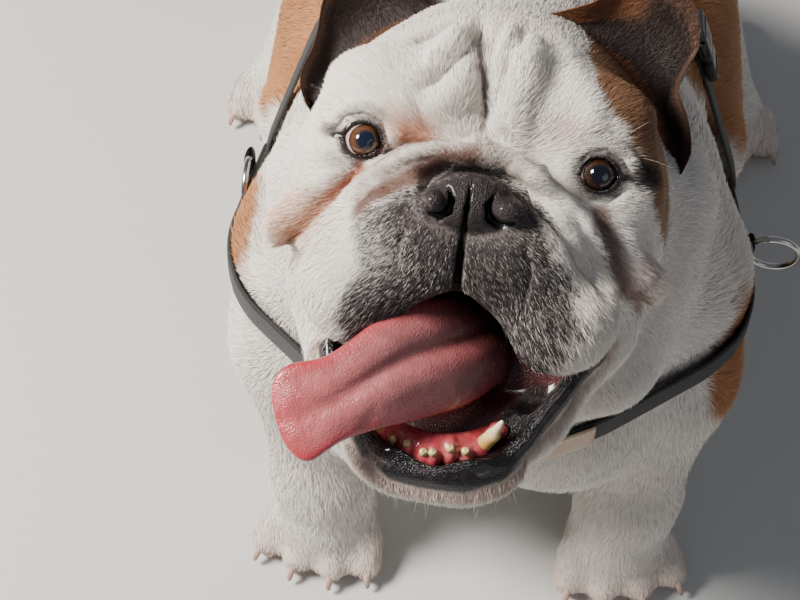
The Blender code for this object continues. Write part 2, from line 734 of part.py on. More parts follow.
def tab_mesh(sections):
    """Leather tab folded over the middle of the chest strap."""
    rings = []
    for section in sections:
        middle, outward, across = outer_frame(section)
        half = CHEST_STRAP_WIDTH / 2 - 0.0005
        low = middle + outward * GAP
        high = low + outward * TAB_THICKNESS
        rings.append([low - across * half, low + across * half, high + across * half, high - across * half])
    return loft("tab", rings)


def clear_of(sections):
    """Middle, outward and crosswise directions of a stretch of strap, the middle raised clear of its bend."""
    middle, outward, across = outer_frame(sections[len(sections) // 2])
    rise = max((point - middle).dot(outward) for section in sections for point in section)
    return middle + outward * (rise + GAP), outward, across


def flat_ring(sections):
    """Ring lying on the outer face of a stretch of strap."""
    middle, outward, _ = clear_of(sections)
    return ring_mesh("ring", middle + outward * RING_WIRE, outward, RING_RADIUS, RING_WIRE)


def buckle_mesh(sections):
    """Closed buckle of the girth strap, a rounded block on the outer face of a stretch of it."""
    middle, outward, across = clear_of(sections)
    along = across.cross(outward).normalized()
    turn = Matrix((outward, along, across)).transposed().to_4x4()
    shape = bmesh.new()
    bmesh.ops.create_cube(shape, size=1)
    thick, length, width = BUCKLE_SIZE
    centre = middle + outward * thick / 2
    shape.transform(Matrix.Translation(centre) @ turn @ Matrix.Diagonal(Vector((thick, length, width, 1))))
    bmesh.ops.bevel(shape, geom=list(shape.edges), offset=0.0035, segments=2, affect="EDGES", profile=0.5)
    mesh = bpy.data.meshes.new("buckle")
    shape.to_mesh(mesh)
    shape.free()
    return mesh


def make_harness(tree, webbing, steel, hide):
    """Strap across the chest, strap round the girth, their side rings, back ring, buckle and tab."""
    across, up = tilted(GIRTH_LEAN)
    girth, rings = strap_mesh("girth_strap", tree, GIRTH_MIDDLE, across, up, GIRTH_STRAP_WIDTH, (0, 360), 48)
    place("girth_strap", girth, webbing)
    place("ring_back", flat_ring(rings[10:15]), steel)
    place("buckle", buckle_mesh(rings[BUCKLE_SECTIONS[0] : BUCKLE_SECTIONS[1]]), webbing)

    across, up = tilted(CHEST_STRAP_LEAN, CHEST_STRAP_ROLL)
    plane = (CHEST_STRAP_MIDDLE, across, up)
    chest, rings = strap_mesh("chest_strap", tree, *plane, CHEST_STRAP_WIDTH, CHEST_STRAP_SPAN, 38)
    place("chest_strap", chest, webbing)
    place("strap_tab", tab_mesh(rings[TAB_SECTIONS[0] : TAB_SECTIONS[1]]), hide)
    place("ring_left", flat_ring(rings[-5:]), steel)
    end, outward, across = outer_frame(rings[1])
    standing = outward.cross(across)
    middle = end + outward * (RING_RADIUS + RING_WIRE + GAP)
    place("ring_right", ring_mesh("ring", middle, standing, RING_RADIUS, RING_WIRE), steel)


# ---------------------------------------------------------------- the dog


def on_face(point):
    local = HEAD_FRAME.inverted() @ point
    return local.y < 0.06 and abs(local.x) < 0.13 and -0.21 < local.z < 0.11


# Regions that the flesh is parted by, each a turned box: the head and jaw in the frame of the face.
HEAD_REGION = {"centre": (0, -0.035, -0.040), "size": (0.36, 0.300, 0.350), "frame": HEAD_FRAME}
JAW_REGION = {
    "centre": (0, 0.065, -0.186),
    "size": (0.36, 0.40, 0.20),
    "turn": (20.4, 0, 0),
    "frame": HEAD_FRAME,
}
NECK_REGION = {"centre": (0, -0.138, 0.448), "size": (0.40, 0.50, 0.30), "turn": (27, 0, 0)}
TAIL_REGION = {"centre": (0, RUMP_Y + 0.048, 0.100), "size": (0.10, 0.10, 0.10)}
LOIN_REGION = {"centre": (0, 0.270, 0.130), "size": (0.50, 0.34, 0.60), "turn": (-24, 0, 0)}


def foreleg_region(side):
    centre = (side * 0.150, -0.150, 0.040)
    return {"centre": centre, "size": (0.205, 0.300, 0.245), "turn": (0, -side * 12, 0)}


def forepaw_region(side):
    return {"centre": (side * 0.130, -0.180, 0.000), "size": (0.16, 0.16, 0.110)}


def hind_leg_region(side):
    return {"centre": (side * 0.190, 0.222, 0.110), "size": (0.205, 0.370, 0.300), "turn": (0, -side * 6, 0)}


def hind_paw_region(side):
    return {"centre": (side * 0.190, 0.220, -0.010), "size": (0.150, 0.230, 0.140)}


def part_the_flesh(flesh):
    """The whole flesh in named pieces."""
    pieces = {}
    head_and_jaw, rest = parted(flesh, HEAD_REGION)
    pieces["lower_jaw"], pieces["head"] = parted(head_and_jaw, JAW_REGION)
    pieces["neck"], rest = parted(rest, NECK_REGION)
    pieces["tail"], rest = parted(rest, TAIL_REGION)
    for name, side in SIDES:
        foreleg, rest = parted(rest, foreleg_region(side))
        pieces["forepaw_" + name], pieces["foreleg_" + name] = parted(foreleg, forepaw_region(side))
        hind_leg, rest = parted(rest, hind_leg_region(side))
        pieces["hind_paw_" + name], pieces["thigh_" + name] = parted(hind_leg, hind_paw_region(side))
    pieces["loin"], pieces["chest"] = parted(rest, LOIN_REGION)
    return pieces


def solid_tree(mesh):
    shape = bmesh.new()
    shape.from_mesh(mesh)
    tree = BVHTree.FromBMesh(shape)
    shape.free()
    return tree


def main():
    for thing in list(bpy.data.objects):
        bpy.data.objects.remove(thing)
    white_coat = finish("white coat", (0.80, 0.74, 0.69), 0.85)
    tan_coat = finish("tan coat", (0.52, 0.28, 0.13), 0.85)
    wet_flesh = finish("wet pink flesh", (0.55, 0.12, 0.13), 0.35)
    eye_glass = finish("brown eye", (0.10, 0.04, 0.02), 0.10)
    claw_horn = finish("claw horn", (0.55, 0.42, 0.36), 0.45)
    webbing = finish("black webbing", (0.02, 0.02, 0.02), 0.80)
    steel = finish("bright steel", (0.60, 0.60, 0.60), 0.25, 1.0)
    hide = finish("beige leather", (0.60, 0.45, 0.33), 0.60)

    flesh = decimated(model_flesh(), FLESH_TRIANGLES, on_face)
    ground = block((0, 0, -0.05), (1, 1, 0.1))
    flesh = combined(flesh, ground, "DIFFERENCE")
    tree = solid_tree(flesh)
    pieces = part_the_flesh(flesh)

    tongue = tongue_mesh()
    gum = combined(gum_mesh(), swollen(tongue, GAP), "DIFFERENCE")
    wet_pieces = joined([swollen(tongue, GAP), swollen(gum, GAP)])
    for name in ("head", "lower_jaw"):
        pieces[name] = combined(pieces[name], wet_pieces, "DIFFERENCE")
    place("tongue", tongue, wet_flesh)
    place("lower_gum", gum, wet_flesh)

    for name, side in SIDES:
        middle = HEAD_FRAME @ Vector((side * EYE_HALF_SPACING, EYE_DEPTH, 0))
        socket = ball_mesh("socket", middle, EYEBALL_RADIUS + GAP, 12, 8)
        pieces["head"] = combined(pieces["head"], socket, "DIFFERENCE")
        place("eye_" + name, ball_mesh("eye", middle, EYEBALL_RADIUS, 12, 8), eye_glass)
        flesh_behind = joined([swollen(pieces["head"], GAP), swollen(pieces["neck"], GAP)])
        place("ear_" + name, combined(ear_mesh(name, side), flesh_behind, "DIFFERENCE"), tan_coat)

    for paw_name, paw in (("forepaw", FRONT_PAW), ("hind_paw", HIND_PAW)):
        for name, side in SIDES:
            toes = toe_places(side, **paw)
            node = paw_name + "_" + name
            beds = joined([claw_mesh(*toe, grow=GAP) for toe in toes])
            pieces[node] = combined(pieces[node], beds, "DIFFERENCE")
            for number, toe in enumerate(toes, 1):
                place("claw_" + node + "_" + str(number), claw_mesh(*toe), claw_horn)

    for name, mesh in pieces.items():
        place(name, mesh, tan_coat if name in ("tail", "thigh_left", "thigh_right", "loin") else white_coat)

    make_harness(tree, webbing, steel, hide)


main()
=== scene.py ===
import json
import math

import bmesh
import bpy
import numpy as np
from mathutils import Euler, Matrix, Vector

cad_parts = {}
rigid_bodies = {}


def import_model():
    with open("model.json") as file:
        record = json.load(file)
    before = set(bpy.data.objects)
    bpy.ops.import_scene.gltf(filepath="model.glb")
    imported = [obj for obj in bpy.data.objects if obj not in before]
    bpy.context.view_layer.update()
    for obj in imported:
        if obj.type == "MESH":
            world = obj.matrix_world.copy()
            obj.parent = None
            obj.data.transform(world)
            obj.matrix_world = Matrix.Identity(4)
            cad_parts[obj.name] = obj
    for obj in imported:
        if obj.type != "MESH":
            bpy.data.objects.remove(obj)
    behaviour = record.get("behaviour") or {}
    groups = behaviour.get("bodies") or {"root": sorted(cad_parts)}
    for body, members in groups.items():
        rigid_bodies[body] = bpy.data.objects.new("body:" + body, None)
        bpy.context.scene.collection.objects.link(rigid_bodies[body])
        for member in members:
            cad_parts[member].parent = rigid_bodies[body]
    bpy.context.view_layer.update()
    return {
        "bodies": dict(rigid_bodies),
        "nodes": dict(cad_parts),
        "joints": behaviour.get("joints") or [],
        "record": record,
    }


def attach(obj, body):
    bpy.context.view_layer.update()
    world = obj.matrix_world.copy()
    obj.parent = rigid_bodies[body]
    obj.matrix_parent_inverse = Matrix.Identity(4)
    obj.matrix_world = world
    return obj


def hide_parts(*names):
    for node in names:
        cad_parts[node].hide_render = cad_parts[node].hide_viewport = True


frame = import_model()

# ---------------------------------------------------------------- flesh
# The dog's flesh under its coat is laid up whole from smoothly blended lumps and limbs, with the mouth,
# nostrils and eyes carved out of it. Each shape is a distance function with its box, drawn on a grid.

SIDES = (("left", 1), ("right", -1))
CENTRING = Matrix.Translation((0, -0.0254, 0))
FACE = (
    CENTRING
    @ Matrix.Translation((-0.010, -0.130, 0.455))
    @ Matrix.Rotation(math.radians(-3.2), 4, "Z")
    @ Matrix.Rotation(math.radians(-61.0), 4, "X")
    @ Matrix.Rotation(math.radians(1.5), 4, "Y")
)
FACE_AXES = np.array(FACE.to_3x3())
FACE_PLACE = np.array(FACE.translation)
EYE = np.array((66, 8.5, 0))
EYEBALL_RADIUS = 11.2


def in_face(points):
    """Points in the head's own frame, in millimetres: x to the dog's left, y into the head, z up the face."""
    return (points - FACE_PLACE) @ FACE_AXES * 1000


def out_of_face(points):
    """Points given in the head's own frame, in millimetres, as places in the model."""
    return points / 1000 @ FACE_AXES.T + FACE_PLACE


def lump(centre, radii, frame, turn=(0, 0, 0)):
    """An ellipsoid in a frame: its distance function and the corners of its box."""
    place = frame @ Matrix.Translation(centre) @ Euler([math.radians(a) for a in turn]).to_matrix().to_4x4()
    axes = np.array(place.to_3x3())
    middle = np.array(place.translation)

    def distance(points):
        local = (points - middle) @ axes
        near = np.linalg.norm(local / radii, axis=-1)
        slope = np.linalg.norm(local / radii**2, axis=-1) + 1e-9
        return near * (near - 1) / slope

    reach = np.sqrt((axes**2 * radii**2).sum(axis=1))
    return distance, middle - reach, middle + reach


def limb(start, end, start_radius, end_radius, frame):
    """A round bar that tapers from one radius to another."""
    first = np.array(frame @ Vector(start))
    second = np.array(frame @ Vector(end))
    along = second - first
    square = along @ along + 1e-12
    taper = end_radius - start_radius

    def distance(points):
        share = np.clip((points - first) @ along / square, 0, 1)
        nearest = first + share[..., None] * along
        return np.linalg.norm(points - nearest, axis=-1) - (start_radius + share * taper)

    ends = np.array([first - start_radius, second - end_radius, first + start_radius, second + end_radius])
    return distance, ends.min(axis=0), ends.max(axis=0)


def smooth_least(first, second, blend):
    near = np.maximum(blend - np.abs(first - second), 0) / blend
    return np.minimum(first, second) - near**2 * blend / 4


def blended_step(low, high, value):
    share = np.clip((value - low) / (high - low), 0, 1)
    return share * share * (3 - 2 * share)


class Clay:
    """Signed distances on a grid, negative inside."""

    def __init__(self, low, high, cell):
        self.low = np.array(low, float)
        self.cell = cell
        self.size = np.ceil((np.array(high) - self.low) / cell).astype(int) + 1
        self.values = np.full(self.size, 1.0)

    def window(self, low, high, margin):
        """The part of the grid round a box, and its points."""
        first = np.clip(np.floor((low - margin - self.low) / self.cell).astype(int), 0, self.size)
        last = np.clip(np.ceil((high + margin - self.low) / self.cell).astype(int) + 1, 0, self.size)
        lines = [self.low[i] + self.cell * np.arange(first[i], last[i]) for i in range(3)]
        points = np.stack(np.meshgrid(*lines, indexing="ij"), axis=-1)
        return tuple(slice(a, b) for a, b in zip(first, last)), points

    def join(self, shape, blend):
        """Blends a shape on, or carves it away if the blend is negative."""
        distance, low, high = shape
        sign = math.copysign(1, blend)
        part, points = self.window(low, high, abs(blend) + 4 * self.cell)
        if points.size:
            self.values[part] = sign * smooth_least(sign * self.values[part], distance(points), abs(blend))

    def put(self, rows, side=1, frame=FACE):
        """Joins lumps (blend, centre, radii, turn) and limbs (blend, start, end, radius, radius).

        They are in millimetres, given for the dog's left side and mirrored for its right.
        """
        mirror = np.array((side, 1, 1)) / 1000
        for blend, first, second, *more in rows:
            if len(more) == 2:
                shape = limb(first * mirror, second * mirror, more[0] / 1000, more[1] / 1000, frame)
            else:
                tilt, lean, roll = more[0] if more else (0, 0, 0)
                shape = lump(first * mirror, np.array(second) / 1000, frame, (tilt, side * lean, side * roll))
            self.join(shape, blend / 1000)


def at_corners(table, whole, share):
    """A table's values mixed between the eight entries round each place."""
    total = np.zeros(len(whole))
    for corner in range(8):
        step = np.array([corner & 1, corner >> 1 & 1, corner >> 2 & 1])
        weight = np.prod(np.where(step, share, 1 - share), axis=1)
        total += weight * table[tuple(((whole + step) % table.shape).T)]
    return total


def sampled(values, clay, points):
    """A grid's values at any points."""
    spots = np.clip((points - clay.low) / clay.cell, 0, np.array(values.shape) - 1.001)
    whole = spots.astype(int)
    return at_corners(values, whole, spots - whole)


def surface_net(values):
    """The zero surface of a grid: one corner in each mixed cell and one face on each crossed edge."""
    inside = values < 0
    shape = np.array(values.shape) - 1
    used = np.zeros(shape, bool)
    here = inside[tuple(slice(0, n) for n in shape)]
    for corner in range(8):
        step = (corner & 1, corner >> 1 & 1, corner >> 2 & 1)
        used |= inside[tuple(slice(s, s + n) for s, n in zip(step, shape))] != here
    number = np.full(used.shape, -1)
    number[used] = np.arange(used.sum())
    cells = np.argwhere(used)
    totals = np.zeros((len(cells), 3))
    counts = np.zeros(len(cells))
    quads = []
    for axis in range(3):
        for corner in range(4):
            start = np.insert((corner >> 1, corner & 1), axis, 0)
            first = values[tuple((cells + start).T)]
            second = values[tuple((cells + start + np.eye(3, dtype=int)[axis]).T)]
            crossed = (first < 0) != (second < 0)
            share = np.where(crossed, first / (first - second + 1e-30), 0)
            for i in range(3):
                totals[:, i] += crossed * (start[i] + (share if i == axis else 0))
            counts += crossed
        steps = [slice(1, n) for n in shape]
        steps[axis] = slice(0, shape[axis])
        ahead = list(steps)
        ahead[axis] = slice(1, shape[axis] + 1)
        crossed = inside[tuple(steps)] != inside[tuple(ahead)]
        leaving = inside[tuple(steps)][crossed]
        spots = np.argwhere(crossed)
        others = [(axis + 1) % 3, (axis + 2) % 3]
        spots[:, others] += 1
        ring = []
        for shift in ((0, 0), (1, 0), (1, 1), (0, 1)):
            beside = spots.copy()
            beside[:, others] -= shift
            ring.append(number[tuple(beside.T)])
        faces = np.stack(ring, axis=1)
        faces[~leaving] = faces[~leaving][:, ::-1]
        quads.append(faces)
    return cells + totals / counts[:, None], np.concatenate(quads)


def drawn(clay, rounds=2):
    """The surface of the clay, its points evened out along it and brought back onto it."""
    corners, quads = surface_net(clay.values)
    points = clay.low + clay.cell * corners
    ends = np.concatenate([quads[:, [i, (i + 1) % 4]] for i in range(4)])
    count = np.bincount(ends[:, 0], minlength=len(points)) + 1e-9
    step = clay.cell * 0.5
    for _ in range(rounds):
        totals = [np.bincount(ends[:, 0], points[ends[:, 1], i], len(points)) for i in range(3)]
        points = 0.4 * points + 0.6 * np.stack(totals, axis=1) / count[:, None]
        value = sampled(clay.values, clay, points)
        slope = np.zeros_like(points)
        for i in range(3):
            shift = np.eye(3)[i] * step
            ahead, behind = [sampled(clay.values, clay, points + way * shift) for way in (1, -1)]
            slope[:, i] = ahead - behind
        slope /= 2 * step
        points = points - slope * (value / np.maximum((slope**2).sum(axis=1), 0.25))[:, None]
    return points, quads


def curve_through(points, steps):
    """Even steps along a smooth curve through the points, each a tuple of any length."""
    points = np.array(points, float)
    padded = np.vstack([2 * points[0] - points[1], points, 2 * points[-1] - points[-2]])
    found = []
    for share in np.linspace(0, len(points) - 1, steps):
        i = min(int(share), len(points) - 2)
        t = share - i
        a, b, c, d = padded[i : i + 4]
        bend = (2 * a - 5 * b + 4 * c - d) * t**2 + (3 * b - a - 3 * c + d) * t**3
        found.append(0.5 * (2 * b + (c - a) * t + bend))
    return np.array(found)


def chain(blend, points, radii):
    """Limbs from each point to the next."""
    pairs = zip(points, points[1:], radii, radii[1:])
    return [(blend, np.array(a), np.array(b), start, end) for a, b, start, end in pairs]


# Barrel chest, sloping back, tucked belly and broad rump; shoulders and breast muscles.
TRUNK = (
    (30, (0, -45, 258), (0, 190, 160), 134, 116),
    (30, (0, 60, 222), (140, 170, 130), (-22, 0, 0)),
    (40, (0, -102, 205), (116, 98, 116)),
    (40, (0, 213, 115), (122, 105, 118)),
)
SHOULDER = ((40, (90, -66, 258), (56, 86, 100), (12, 0, 0)), (25, (56, -152, 180), (54, 46, 68)))
# Short thick neck with loose folds behind the skull and a dewlap under the jaw.
NECK = (
    (40, (0, -45, 290), (-6, -88, 336), 128, 100),
    (40, (0, 35, 300), (-4, -20, 352), 90, 78),
    (30, (70, -160, 290), (95, -75, 335), 40, 36),
    (30, (-70, -160, 290), (-105, -75, 335), 40, 36),
    (40, (-6, -185, 312), (0, -150, 235), 50, 55),
)
# Stout, straight foreleg, and the folded hind leg: thigh, knee, shank and the flat hock.
LEGS = (
    (30, (116, -75, 245), (122, -100, 175), 56, 48),
    (25, (119, -110, 180), (108, -150, 72), 49, 35),
    (20, (108, -150, 72), (104, -162, 40), 36, 35),
    (30, (85, 190, 145), (124, 92, 152), 90, 54),
    (30, (108, 175, 130), (56, 92, 102), (-18, 0, 0)),
    (20, (124, 92, 152), (150, 240, 60), 46, 34),
    (20, (158, 285, 34), (170, 212, 30), 31, 30),
)
TAIL = ((12, (0, 306, 120), (4, 330, 108), 24, 19), (8, (4, 330, 108), (16, 332, 86), 18, 12))
# Paws: half the distance between a pair, how far forward the heel stands, and how far the toes turn out.
PAWS = {"forepaw": (104, -165, 10), "hind_paw": (170, 208, 8)}
TOE_REACH = 34
TOE_SPACING = 18.5
TOE_RADIUS = 15.5
# Broad flat-topped skull; on each side a cheek, brow, eye socket and forehead.
SKULL = ((30, (0, 74, 10), (101, 76, 79)),)
BROW = (
    (30, (66, 58, -36), (42, 56, 58)),
    (20, (52, 26, 28), (42, 27, 27), (0, -12, 0)),
    (20, (66, 28, -2), (34, 26, 26)),
    (12, (18, 20, 36), (16, 20, 32)),
    (-8, (66, -10, 0), (16, 12, 13)),
)
# Very short turned-up muzzle; on each side the pendent lip, the rope over the nose and the cheek pouch.
MUZZLE = ((20, (0, 0, -45), (66, 44, 42)),)
FLEW = (
    (14, (26, -14, -52), (56, -2, -79), 30, 34),
    (14, (30, -22, -48), (30, 24, 26)),
    (10, (11, -29.5, -50), (13, -19, -71), 12, 11.5),
    (8, (0, -28, 0), (30, -24, -8), 8.8, 9.2),
    (8, (30, -24, -8), (58, -8, -29), 8.8, 9.2),
    (8, (58, -8, -29), (86, 14, -58), 8.8, 9.2),
    (10, (70, 14, -34), (103, 28, -54), 10, 12),
)
# Broad lower jaw, hung open, with the chin tucked under it.
JAW = (
    (6, (0, -40.5, -28), (27.5, 15.8, 16)),
    (22, (66, 66, -85), (42, 36, -136), 36, 25.5),
    (18, (42, 36, -136), (16, 12, -168), 24.5, 21),
    (22, (-66, 66, -85), (-52, 36, -136), 36, 25.5),
    (18, (-52, 36, -136), (-58 / 3, 12, -168), 24.5, 21),
    (15, (0, 10, -170), (50, 27, 23)),
    (30, (0, 60, -135), (62, 40, 40)),
)
# The open mouth between the lips, back to the throat and down to the floor of the jaw.
MOUTH = (
    (-4, (0, -46, -85), (0, -12, -90), 10, 14),
    (-6, (0, -24, -101), (0, 10, -106), 23, 30),
    (-10, (0, 6, -110), (0, 50, -104), 34, 26),
)
MOUTH_SIDE = (
    (-5, (6, -40, -106), (56, -28, -135), 24, 23),
    (-6, (0, 4, -120), (52, 12, -118), 30, 16.5),
    (-6, (0, -4, -141), (25, 0, -139), 22, 20),
    (-4, (0, -7, -153), (22, -2, -149), 18.5, 16.5),
)
# Nose leather: a broad pad, and the rolled wing outside each nostril.
NOSE = (
    (3, (0.8, -41.2, -28.5), (24.8, 14.8, 15)),
    (4, (0, -44, -19), (18.5, 9.2, 6.6)),
    (2, (20.4, -50, -29.6), (8, 9.2, 6.88)),
    (4, (23.664, -42, -30.6), (7, 9, 8)),
    (2, (-18.1, -50, -30), (7, 9.2, 6.02)),
    (4, (-20.996, -42, -31), (7, 9, 8)),
)
# Both comma-shaped nostrils, and the slit from the pad down to the parting of the lips.
NOSTRILS = (
    ((13.2, -22.0), (10.3, -28.4), (12.2, -34.6), (18.2, -38.0), (25.4, -35.4)),
    ((-11.4, -23.0), (-8.8, -28.6), (-10.0, -34.2), (-14.6, -37.4), (-19.8, -36.6)),
)
NOSTRIL_RADII = (0.6, 1.3, 1.8, 1.6, 0.7)
NOSTRIL_DEPTHS = (-60, -57.5, -55, -52.5, -50, -47.5)
LIP_SLIT = ((-0.1, -58, -19), (-0.3, -58, -31), (-0.6, -56, -42), (-0.6, -50, -56), (-0.6, -39, -77))
LIP_SLIT_RADII = (0.4, 0.8, 1.0, 1.3, 1.8)
LIP_SLIT_DEPTHS = (0, 2.2, 4.4, 6.6, 8.8, 11)
# Each eye's lids: their thickness, the fold above them, and the gap between them with its drawn-out corners.
LID_THICKNESS = 2.0
LID_FOLD = ((-14, 4, 8.5), (-7, 0, 14), (3, -1.5, 15.5), (12, 1, 11.5), (19, 5, 3.5))
LID_GAP = (66.4, -4.5, 0.2)
LID_GAP_ROWS = (
    (-1.0, LID_GAP, (10.9, 13.0, 9.4), (0, 6, 0)),
    (-1.4, LID_GAP, (82.6, 2.5, 1.0), 5.6, 0.8),
    (-1.4, LID_GAP, (53.8, 2.5, -2.0), 5.6, 0.8),
    (-0.5, EYE, [EYEBALL_RADIUS + 0.15] * 3),
)
LOWER_LIP = (
    (-69, 20, -118), (-57, 11, -143), (-45, 5, -158), (-35, -2, -170), (-20, -8, -177), (-2, -11, -179),
    (18, -9, -178), (35, -3, -170), (47, 4, -156), (54, 9, -142), (63, 15, -128), (72, 22, -112),
    (82, 31, -99),
)


def toe_places(side, spacing, heel_y, splay):
    """Heels, directions and reaches of a paw's four toes, in millimetres, from the outer to the inner one."""
    turned_out = math.radians(splay)
    across = Vector((math.cos(turned_out) * side, math.sin(turned_out), 0))
    middle = Vector((side * spacing, heel_y, 0))
    places = []
    for place, angle, length in ((1.5, 20, 0.82), (0.5, 6, 1.0), (-0.5, -6, 1.0), (-1.5, -18, 0.80)):
        turned = math.radians(splay + angle) * side
        ahead = Vector((math.sin(turned), -math.cos(turned), 0))
        places.append((middle + across * (place * TOE_SPACING), ahead, TOE_REACH * length))
    return places


def coat_depth(points):
    """How far the skin lies under the tips of the hair: least on the face and paws, most on the body."""
    behind = blended_step(0.03, 0.14, in_face(points)[..., 1] * 0.001)
    paws = blended_step(0.03, 0.12, points[..., 2])
    return 0.0016 + 0.0030 * behind * (0.35 + 0.65 * paws)


def laid_up(low, high, cell):
    """All the flesh but the ears on one grid, up to the skin, and the same before its openings were cut."""
    clay = Clay(low, high, cell)
    clay.put(TRUNK, 1, CENTRING)
    for _, side in SIDES:
        clay.put(SHOULDER, side, CENTRING)
    clay.put(NECK, 1, CENTRING)
    for _, side in SIDES:
        clay.put(LEGS, side, CENTRING)
        for spacing, heel_y, splay in PAWS.values():
            clay.put([(20, (spacing, heel_y - 4, 22), (36, 30, 26))], side, CENTRING)
            for heel, ahead, reach in toe_places(side, spacing, heel_y, splay):
                knuckle = heel + ahead * reach * 0.45 + Vector((0, 0, 23.5))
                tip = heel + ahead * reach + Vector((0, 0, 13.5))
                clay.put(chain(8, [knuckle, tip], [TOE_RADIUS, TOE_RADIUS * 0.92]), 1, CENTRING)
    for middle, beside in ((SKULL, BROW), (MUZZLE, FLEW)):
        clay.put(middle)
        for _, side in SIDES:
            clay.put(beside, side)
    clay.put(JAW)
    clay.put(TAIL, 1, CENTRING)
    clay.values += coat_depth(clay.window(clay.low, clay.low + cell * (clay.size - 1), 0)[1])
    clay.put(NOSE)
    fold = curve_through(LID_FOLD, 13) + (EYE[0], 3, 0)
    for _, side in SIDES:
        clay.put([(5, EYE, [EYEBALL_RADIUS + LID_THICKNESS] * 3)], side)
        clay.put(chain(4, fold, [2.8] * 13), side)
    levels = clay.low[2] + cell * np.arange(clay.size[2])
    clay.values = np.maximum(clay.values, -levels)
    clay.closed = clay.values.copy()
    clay.put(MOUTH)
    for _, side in SIDES:
        clay.put(MOUTH_SIDE, side)
    for i, (x, y, z) in enumerate(curve_through(LOWER_LIP, 60)):
        crimp = blended_step(30, 42, i) * (i % 3 != 0)
        clay.put([(4, (x, y + 2, z + 2), (4.5, 4.0, 4.2 + 1.4 * crimp))])
    for path in NOSTRILS:
        for depth in NOSTRIL_DEPTHS:
            clay.put(chain(-1.6, [(x, depth, z) for x, z in path], NOSTRIL_RADII))
    for i in range(4):
        for deeper in LIP_SLIT_DEPTHS:
            part = [(x, y + deeper, z) for x, y, z in LIP_SLIT[i : i + 2]]
            clay.put(chain(-2, part, LIP_SLIT_RADII[i : i + 2]))
    for _, side in SIDES:
        clay.put(LID_GAP_ROWS, side)
    return clay


# ---------------------------------------------------------------- skin
# One skin over the whole dog, ears and all, which the hair grows from. Its mesh is fine round the eyes, nose
# and lips and coarser over the body, where patches of different fineness lap inside one another.

# Name: size of a cell in metres, and the patch's box on the face in millimetres.
PATCHES = {
    "eye_left": (0.00090, (40, -14, -22), (94, 26, 22)),
    "eye_right": (0.00090, (-94, -14, -22), (-40, 26, 22)),
    "nose": (0.00100, (-36, -70, -52), (38, -26, -6)),
    "face": (0.00182, (-100, -75, -205), (104, 30, 92)),
    "head": (0.0034, (-152, -80, -215), (152, 160, 104)),
    "body": (0.0062, None, None),
}
BODY_BOX = ((-0.24, -0.34, -0.012), (0.24, 0.352, 0.51))
LAP = 1.3


def box_depth(points, low, high):
    """How far points lie inside a box."""
    return np.minimum(points - np.array(low), np.array(high) - points).min(axis=-1)


def face_box(low, high):
    """The model's own box round a box on the face, both corners in metres."""
    corners = out_of_face(np.array([[(low, high)[k >> i & 1][i] for i in range(3)] for k in range(8)]))
    return corners.min(axis=0), corners.max(axis=0)


skin_points = []
skin_quads = []
skin_inner = []
total = 0
finer_patches = []
for name, (cell, low, high) in PATCHES.items():
    corners = BODY_BOX if low is None else face_box(low, high)
    margin = 0 if low is None else 3 * cell
    clay = laid_up(np.array(corners[0]) - margin, np.array(corners[1]) + margin, cell)
    points, quads = drawn(clay)
    middles = in_face(points[quads].mean(axis=1))
    kept = np.ones(len(quads), bool) if low is None else box_depth(middles, low, high) > 0
    for finer in finer_patches:
        if name == "face" or finer in ("face", "head"):
            kept &= box_depth(middles, *PATCHES[finer][1:]) < LAP * cell * 1000
    for _, side in SIDES:
        away = middles - EYE * (side, 1, 1)
        kept &= ~((np.linalg.norm(away, axis=1) < EYEBALL_RADIUS + 0.9) & (away[:, 1] > 3))
    used, quads = np.unique(quads[kept], return_inverse=True)
    skin_points.append(points[used])
    skin_quads.append(quads.reshape(-1, 4) + total)
    skin_inner.append(-sampled(clay.closed, clay, points[used]))
    total += len(used)
    finer_patches.append(name)
skin_points = np.vstack(skin_points)
skin_quads = np.vstack(skin_quads)
skin_inner = np.concatenate(skin_inner)


def mesh_normals(points, quads):
    """Even normals at the corners of a mesh of quads."""
    ring = points[quads]
    faces = np.cross(ring[:, 2] - ring[:, 0], ring[:, 3] - ring[:, 1])
    found = np.zeros_like(points)
    for corner in range(4):
        for i in range(3):
            found[:, i] += np.bincount(quads[:, corner], faces[:, i], len(points))
    return unit(found)


def unit(vectors):
    return vectors / (np.linalg.norm(vectors, axis=-1, keepdims=True) + 1e-12)


def away_from(points, line):
    """Distance from points to a line of straight pieces, and the share of its length at the nearest place."""
    line = np.array(line, float)
    best = np.full(len(points), 1e9)
    where = np.zeros(len(points))
    for i, (first, second) in enumerate(zip(line, line[1:])):
        along = second - first
        share = np.clip((points - first) @ along / (along @ along), 0, 1)
        gap = np.linalg.norm(points - first - share[:, None] * along, axis=1)
        nearer = gap < best
        best[nearer] = gap[nearer]
        where[nearer] = (i + share[nearer]) / (len(line) - 1)
    return best, where


# The rope of skin over the nose: its upper edge, and its lower edge on the dog's right and left.
ROPE_TOP = (
    (-66, -15), (-56, -4.5), (-41, 2), (-18, 3.8), (1, 6.2), (11, 5.6), (28, 1.6), (40, -4), (54, -11),
    (66, -17),
)
ROPE_FOOT_RIGHT = ((-60, -46), (-51, -35), (-40, -28), (-29, -23.5), (-22, -15), (-15, -9))
ROPE_FOOT_LEFT = ((15, -8.5), (24, -13), (33, -19.5), (43.5, -28.6), (53, -36), (63, -48))
